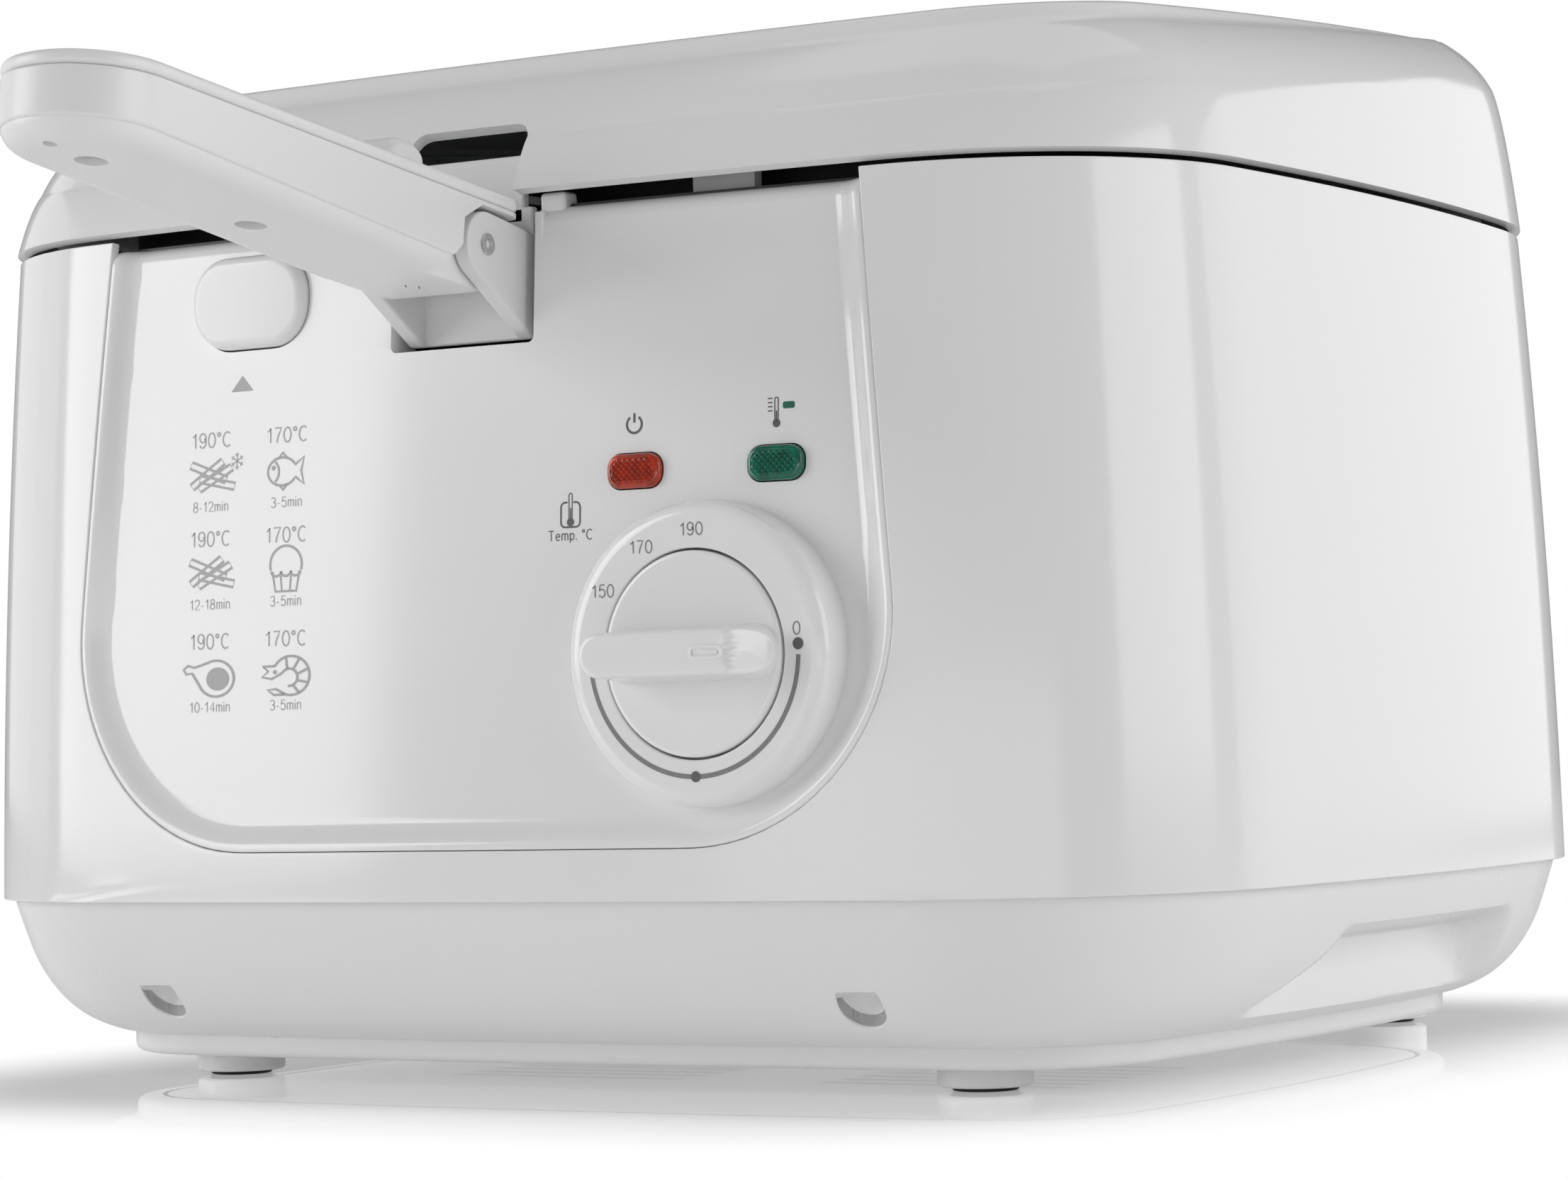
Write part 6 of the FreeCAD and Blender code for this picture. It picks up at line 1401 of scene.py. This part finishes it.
# Lid
class FRYER_OT_lid(bpy.types.Operator):
    """Lid shell with its notch, window, filter cover and hinge knuckle"""
    bl_idname = "fryer.lid"
    bl_label = "Lid"

    # Inset, height at the middle and slope of the rings, from the lower edge to the top panel
    LOW_INSET = 6.3
    WALL = ((LOW_INSET, LID_LOW, 0.0), (9.4, CREASE_Z - 19.0, 0.8 * CREASE_SLOPE),
            (12.0, CREASE_Z - 13.5, CREASE_SLOPE))
    SHOULDER = ((12.0, CREASE_Z - 13.5, CREASE_SLOPE), (16.0, CREASE_Z - 5.25, CREASE_SLOPE),
                (24.0, CREASE_Z, CREASE_SLOPE))
    STEP = ((24.0, CREASE_Z, CREASE_SLOPE), (26.6, CREASE_Z + 0.3, 0.94 * CREASE_SLOPE),
            (27.6, TOP_Z - 1.1, TOP_SLOPE))
    BROW = ((27.6, TOP_Z - 1.1, TOP_SLOPE), (28.2, TOP_Z, TOP_SLOPE), (32.0, TOP_Z, TOP_SLOPE))
    # Half of the turn over which the back corners of the crease and the top are evened
    BACK_SWEEP = 0.25
    # Notch for the handle: half width, top, corner and its points, and the rows and half width of the patch round it
    GAP_HALF, GAP_TOP, GAP_CORNER, GAP_POINTS = 16.3, 219.0, 4.0, 10
    PATCH_ROWS, PATCH_HALF = 22, 30.0
    # Millimetres in a radian of bearing and between two rings
    PATCH_SCALE = (145.0, 1.8)
    # Play round the window and the filter cover in millimetres and the wall in metres
    PLAY, THICKNESS = 0.4, 0.0028

    def execute(self, context):
        rings = np.concatenate([bend(*self.WALL, 16), bend(*self.SHOULDER, 12)[1:], bend(*self.STEP, 7)[1:],
                                bend(*self.BROW, 6)[1:]])
        bearings = np.sort(FIRST_BEARING + np.mod(ring_bearings(sizes().mesh_step / MM) - FIRST_BEARING, TAU))
        left, right = (float(front_bearing(x, self.LOW_INSET)) for x in (-self.PATCH_HALF, self.PATCH_HALF))
        open_from, open_to = np.argmin(abs(bearings - left)), np.argmin(abs(bearings - right))
        points = np.concatenate([self.ring(bearings, entry) for entry in rings])
        faces = []
        count = len(bearings)
        for face_number, face in enumerate(grid_faces(len(rings), count, closed=True)):
            row, column = divmod(face_number, count)
            if not (row < self.PATCH_ROWS and open_from <= column < open_to):
                faces.append(face)
        wall = made("lid_wall", points, faces)
        patch = self.notch_patch(rings, bearings[open_from:open_to + 1])
        rim = self.ring(bearings, rings[-1])
        flat = [(x, y / math.cos(TOP_SLOPE)) for x, y, z in rim]
        holes = [rounded_box(*(part + self.PLAY for part in size), (0, y), 12)
                 for size, y in ((WINDOW, WINDOW_Y), (FILTER, FILTER_Y))]
        top = filled("lid_top", flat, holes, 9.0,
                     lambda corners: np.array([on_lid(u, v, 0) for u, v in corners]))
        lid = welded(joined("lid_cover", wall, patch, top), distance=6e-5)
        facing(lid, (0, 0, 1))
        thickened(lid, self.THICKNESS)
        softened(lid, sizes().edge_round, angle=50)
        lid = joined("lid_cover", lid, self.knuckle(), *self.ledges())
        finished(lid, "lid", "white_gloss", ["lid_shell"])
        self.make_window()
        self.make_filter_cover()
        return {"FINISHED"}

    def ring(self, bearings, entry):
        """Points of a ring, drawn in at the back corners of the crease and the top."""
        inset, height, slope = entry
        plan = outline(bearings, inset)
        reach = np.hypot(plan[:, 0], plan[:, 1])
        beside = [np.hypot(*outline(bearings + turn, inset).T)
                  for turn in np.linspace(-self.BACK_SWEEP, self.BACK_SWEEP, 15)]
        cut = np.maximum(reach - np.mean(beside, axis=0), 0) * np.clip(1.5 * np.sin(bearings), 0, 1)
        plan = plan * (1 - cut * eased((inset - 10.0) / 14.0) / reach)[:, None]
        return np.column_stack([plan[:, 0], plan[:, 1] * math.cos(slope), height + plan[:, 1] * math.sin(slope)])

    def notch_patch(self, rings, bearings):
        """Front of the lid round the handle's notch, between the notch's edge and the rings beside it."""
        rows = self.PATCH_ROWS
        numbers = np.arange(rows + 1)

        def place(bearing_values, level):
            entry = np.column_stack([np.interp(level, np.arange(len(rings)), rings[:, k]) for k in range(3)])
            plan = outline(bearing_values, entry[:, 0])
            return np.column_stack([plan[:, 0], plan[:, 1] * np.cos(entry[:, 2]),
                                    entry[:, 1] + plan[:, 1] * np.sin(entry[:, 2])])

        outer = [(bearings[0], level) for level in numbers] + [(b, rows) for b in bearings[1:-1]] \
            + [(bearings[-1], level) for level in numbers[::-1]]
        half, top = self.GAP_HALF, self.GAP_TOP
        edge = rounded_corners([(-half, LID_LOW, 0), (-half, top), (half, top), (half, LID_LOW, 0)],
                               self.GAP_CORNER, self.GAP_POINTS)
        inner = []
        levels = np.linspace(0, rows, 60)
        for x, z in edge:
            bearing_value = float(front_bearing(x, self.LOW_INSET))
            for _ in range(12):
                heights = place(np.full(len(levels), bearing_value), levels)[:, 2]
                level = float(np.interp(z, heights, levels))
                inset = float(np.interp(level, np.arange(len(rings)), rings[:, 0]))
                bearing_value = float(front_bearing(x, inset))
            inner.append((bearing_value, level))
        sides = rows + 1
        total = len(outer)
        inner, outer = np.array(inner), np.array(outer)
        bend_at = 1 + self.GAP_POINTS // 2
        runs = ((inner[:bend_at + 1], sides), (inner[bend_at:-bend_at], total - 2 * sides + 2),
                (inner[-bend_at - 1:], sides))
        low, middle, high = [along(run, count, self.PATCH_SCALE) for run, count in runs]
        inner = np.concatenate([low, middle[1:-1], high])
        shares = [0, 0.12, 0.3, 0.55, 0.8, 1.0]
        points = np.concatenate([place(*(inner + (outer - inner) * share).T) for share in shares])
        return made("lid_notch", points, grid_faces(len(shares), total))

    def knuckle(self):
        """Hinge knuckle and its web at the back of the lid."""
        profile = rounded_corners([(146.0, 204.0, 0), (156.5, 201.5, 0), (163.0, 200.8, 6.0), (163.0, 213.5, 6.2),
                                   (150.5, 213.5, 2.0), (146.0, 212.0, 0)], 2.0, 10)
        return plate("knuckle", profile, [], -39.4, 39.4, 0.7, on_side)

    def ledges(self):
        """Ledges that carry the window and the filter cover."""
        window = plate("window_ledge", rounded_box(74.0, 42.0, 15.0, (0, WINDOW_Y)),
                       [rounded_box(66.0, 34.0, 8.0, (0, WINDOW_Y))], -4.8, -3.6, 0.3, on_lid)
        vent = plate("filter_ledge", rounded_box(70.0, 32.0, 11.0, (0, FILTER_Y)),
                     [rounded_box(62.0, 24.0, 8.0, (0, FILTER_Y))], -4.6, -3.3, 0.3, on_lid)
        return [window, vent]

    def make_window(self):
        """Glass pane of the window."""
        pane = plate("glass_pane", rounded_box(*WINDOW, (0, WINDOW_Y), 16), [], -2.5, -0.25, 0.5, on_lid)
        finished(pane, "lid", "clear_glass", ["lid_window"])

    def make_filter_cover(self):
        """Slotted cover over the filter."""
        slots = [rounded_box(2.0, 23.6, 1.9, (10.0 * k, FILTER_Y), 6) for k in range(-5, 6)]
        cover = plate("filter_grille", rounded_box(*FILTER, (0, FILTER_Y), 12), slots, -3.2, -0.3, 0.6, on_lid)
        finished(cover, "filter_lift_cover", "white_gloss", ["filter_cover"])


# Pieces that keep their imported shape
class FRYER_OT_inner_parts(bpy.types.Operator):
    """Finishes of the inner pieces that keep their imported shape"""
    bl_idname = "fryer.inner_parts"
    bl_label = "Inner parts"

    def execute(self, context):
        for entry in frame["record"]["subparts"]:
            mesh = NODES[entry["node"]].data
            mesh.materials.clear()
            mesh.materials.append(FINISHES[entry["material_slot"]])
        return {"FINISHED"}


# Stage: the camera's place, lens and sensor in millimetres, its angles in radians
CAMERA_PLACE = (567.70, -950.19, 78.80)
CAMERA_TURN, CAMERA_RISE, CAMERA_ROLL = 0.5426, 0.0339, 0.025
CAMERA_LENS, CAMERA_SENSOR = 100.035, 36.0


class FRYER_OT_stage(bpy.types.Operator):
    """Pale floor, soft light and the camera"""
    bl_idname = "fryer.stage"
    bl_label = "Stage"

    # Place, aim, size and power of each light, in metres and watts
    LIGHTS = {
        "right_softbox": ((2.2, -0.05, 0.8), (0.0, 0.05, 0.25), (1.6, 1.4), 17.5),
        "rim_softbox": ((1.7, 2.5, 0.8), (0.1, 0.06, 0.2), (3.0, 1.6), 18.5),
        "left_softbox": ((-1.69, -1.35, 0.62), (0.0, 0.06, 0.2), (1.1, 1.15), 17.5),
        "left_wall": ((-2.2, 0.14, 0.7), (0.0, 0.06, 0.2), (1.8, 1.3), 5.5),
        "top_softbox": ((0.0, 0.25, 2.0), (0.0, 0.05, 0.1), (1.8, 1.4), 6.0),
        "low_fill": ((0.25, -1.1, 0.03), (0.0, 0.0, 0.12), (1.6, 0.3), 2.2),
    }
    # Half side of the floor, and the half footprint beyond which it turns white, in metres
    FLOOR_HALF, FOOTPRINT = 7.0, (0.09, 0.125, 1.0)

    def execute(self, context):
        scene = context.scene
        self.make_floor()
        self.make_world(scene)
        for name, values in self.LIGHTS.items():
            self.lamp(name, *values)
        self.make_camera(scene)
        scene.view_settings.view_transform = "Standard"
        return {"FINISHED"}

    def make_floor(self):
        """Glossy floor that mirrors the feet."""
        values = np.linspace(-self.FLOOR_HALF, self.FLOOR_HALF, 9)
        points = [(x / MM, y / MM - HOUSING_Y, -0.02) for y in values for x in values]
        floor = facing(made("floor", points, grid_faces(len(values), len(values))), (0, 0, 1))
        finish = Finish("studio_floor")
        add, link = finish.add, finish.link
        finish.tint(finish.noise(60.0, 2.0), (0.9, 0.9, 0.9), 0.004)
        finish.fixed(Roughness=0.02, IOR=1.45, Emission_Color=(1, 1, 1, 1), Emission_Strength=0.14)
        # Seen directly, the floor turns white away from the footprint, so the reflection stays near the feet
        reach = finish.place
        for operation, value in (("SUBTRACT", (0, HOUSING_Y * MM, 0)), ("ABSOLUTE", None),
                                 ("SUBTRACT", self.FOOTPRINT), ("MAXIMUM", (0, 0, 0))):
            step = add("ShaderNodeVectorMath", operation=operation)
            link(reach, step.inputs[0])
            if value:
                step.inputs[1].default_value = value
            reach = step.outputs["Vector"]
        distance = add("ShaderNodeVectorMath", operation="LENGTH")
        link(reach, distance.inputs[0])
        fade = add("ShaderNodeMapRange", interpolation_type="SMOOTHSTEP",
                   **{"From Min": 0.035, "From Max": 0.125, "To Min": 0.12})
        link(distance.outputs["Value"], fade.inputs["Value"])
        seen = add("ShaderNodeMath", operation="MULTIPLY")
        link(add("ShaderNodeLightPath").outputs["Is Camera Ray"], seen.inputs[0])
        link(fade.outputs["Result"], seen.inputs[1])
        mixed = add("ShaderNodeMixShader")
        link(seen.outputs["Value"], mixed.inputs["Fac"])
        link(finish.shader.outputs["BSDF"], mixed.inputs[1])
        link(add("ShaderNodeEmission", Strength=1.0).outputs["Emission"], mixed.inputs[2])
        link(mixed.outputs["Shader"], finish.nodes["Material Output"].inputs["Surface"])
        floor.data.materials.append(finish.material)

    def make_world(self, scene):
        """Backdrop that is white to the camera and through glass, and dimmer as light."""
        world = bpy.data.worlds.new("studio")
        world.use_nodes = True
        nodes, link = world.node_tree.nodes, world.node_tree.links.new
        path, either = nodes.new("ShaderNodeLightPath"), nodes.new("ShaderNodeMath")
        either.operation = "MAXIMUM"
        link(path.outputs["Is Camera Ray"], either.inputs[0])
        link(path.outputs["Is Transmission Ray"], either.inputs[1])
        mixed = nodes.new("ShaderNodeMixShader")
        link(either.outputs["Value"], mixed.inputs["Fac"])
        backdrops = ((nodes["Background"], 0.22), (nodes.new("ShaderNodeBackground"), 1.0))
        for number, (backdrop, strength) in enumerate(backdrops, 1):
            backdrop.inputs["Color"].default_value = (1, 1, 1, 1)
            backdrop.inputs["Strength"].default_value = strength
            link(backdrop.outputs["Background"], mixed.inputs[number])
        link(mixed.outputs["Shader"], nodes["World Output"].inputs["Surface"])
        scene.world = world

    def lamp(self, name, place, aim, size, power):
        """Soft light that the camera doesn't see."""
        data = bpy.data.lights.new(name, "AREA")
        data.shape = "RECTANGLE"
        data.size, data.size_y = size
        data.energy = power
        light = linked(name, data)
        light.visible_camera = False
        light.location = place
        light.rotation_euler = (Vector(aim) - Vector(place)).to_track_quat("-Z", "Y").to_euler()

    def make_camera(self, scene):
        """Camera fitted to the photo."""
        data = bpy.data.cameras.new("camera")
        data.sensor_fit = "HORIZONTAL"
        data.sensor_width = CAMERA_SENSOR
        data.lens = CAMERA_LENS
        camera = linked("camera", data)
        ahead = Vector((-math.sin(CAMERA_TURN) * math.cos(CAMERA_RISE),
                        math.cos(CAMERA_TURN) * math.cos(CAMERA_RISE), math.sin(CAMERA_RISE)))
        right = Vector((math.cos(CAMERA_TURN), math.sin(CAMERA_TURN), 0))
        down = ahead.cross(right)
        across = math.cos(CAMERA_ROLL) * right + math.sin(CAMERA_ROLL) * down
        below = -math.sin(CAMERA_ROLL) * right + math.cos(CAMERA_ROLL) * down
        turn = Matrix((across, -below, -ahead)).transposed().to_4x4()
        camera.matrix_world = Matrix.Translation(placed(CAMERA_PLACE)[0]) @ turn
        scene.camera = camera


OPERATORS = [FRYER_OT_inner_parts, FRYER_OT_body_shell, FRYER_OT_base, FRYER_OT_front_panel, FRYER_OT_controls,
             FRYER_OT_prints, FRYER_OT_handle, FRYER_OT_lid, FRYER_OT_stage]


class FRYER_PT_panel(bpy.types.Panel):
    """List of the fryer's builders"""
    bl_idname = "FRYER_PT_panel"
    bl_label = "Deep fryer"
    bl_space_type = "VIEW_3D"
    bl_region_type = "UI"
    bl_category = "Deep fryer"

    def draw(self, context):
        for operator in OPERATORS:
            self.layout.operator(operator.bl_idname)


CLASSES = [FryerSizes, FryerColours, *OPERATORS, FRYER_PT_panel]


def register():
    for entry in CLASSES:
        bpy.utils.register_class(entry)
    bpy.types.Scene.fryer_sizes = PointerProperty(type=FryerSizes)
    bpy.types.Scene.fryer_colours = PointerProperty(type=FryerColours)


def unregister():
    del bpy.types.Scene.fryer_colours
    del bpy.types.Scene.fryer_sizes
    for entry in reversed(CLASSES):
        bpy.utils.unregister_class(entry)


def main():
    """Build everything in order."""
    register()
    make_finishes()
    bpy.ops.fryer.inner_parts()
    bpy.ops.fryer.body_shell()
    bpy.ops.fryer.base()
    bpy.ops.fryer.front_panel()
    bpy.ops.fryer.controls()
    bpy.ops.fryer.prints()
    bpy.ops.fryer.handle()
    bpy.ops.fryer.lid()
    bpy.ops.fryer.stage()


if __name__ == "__main__":
    main()
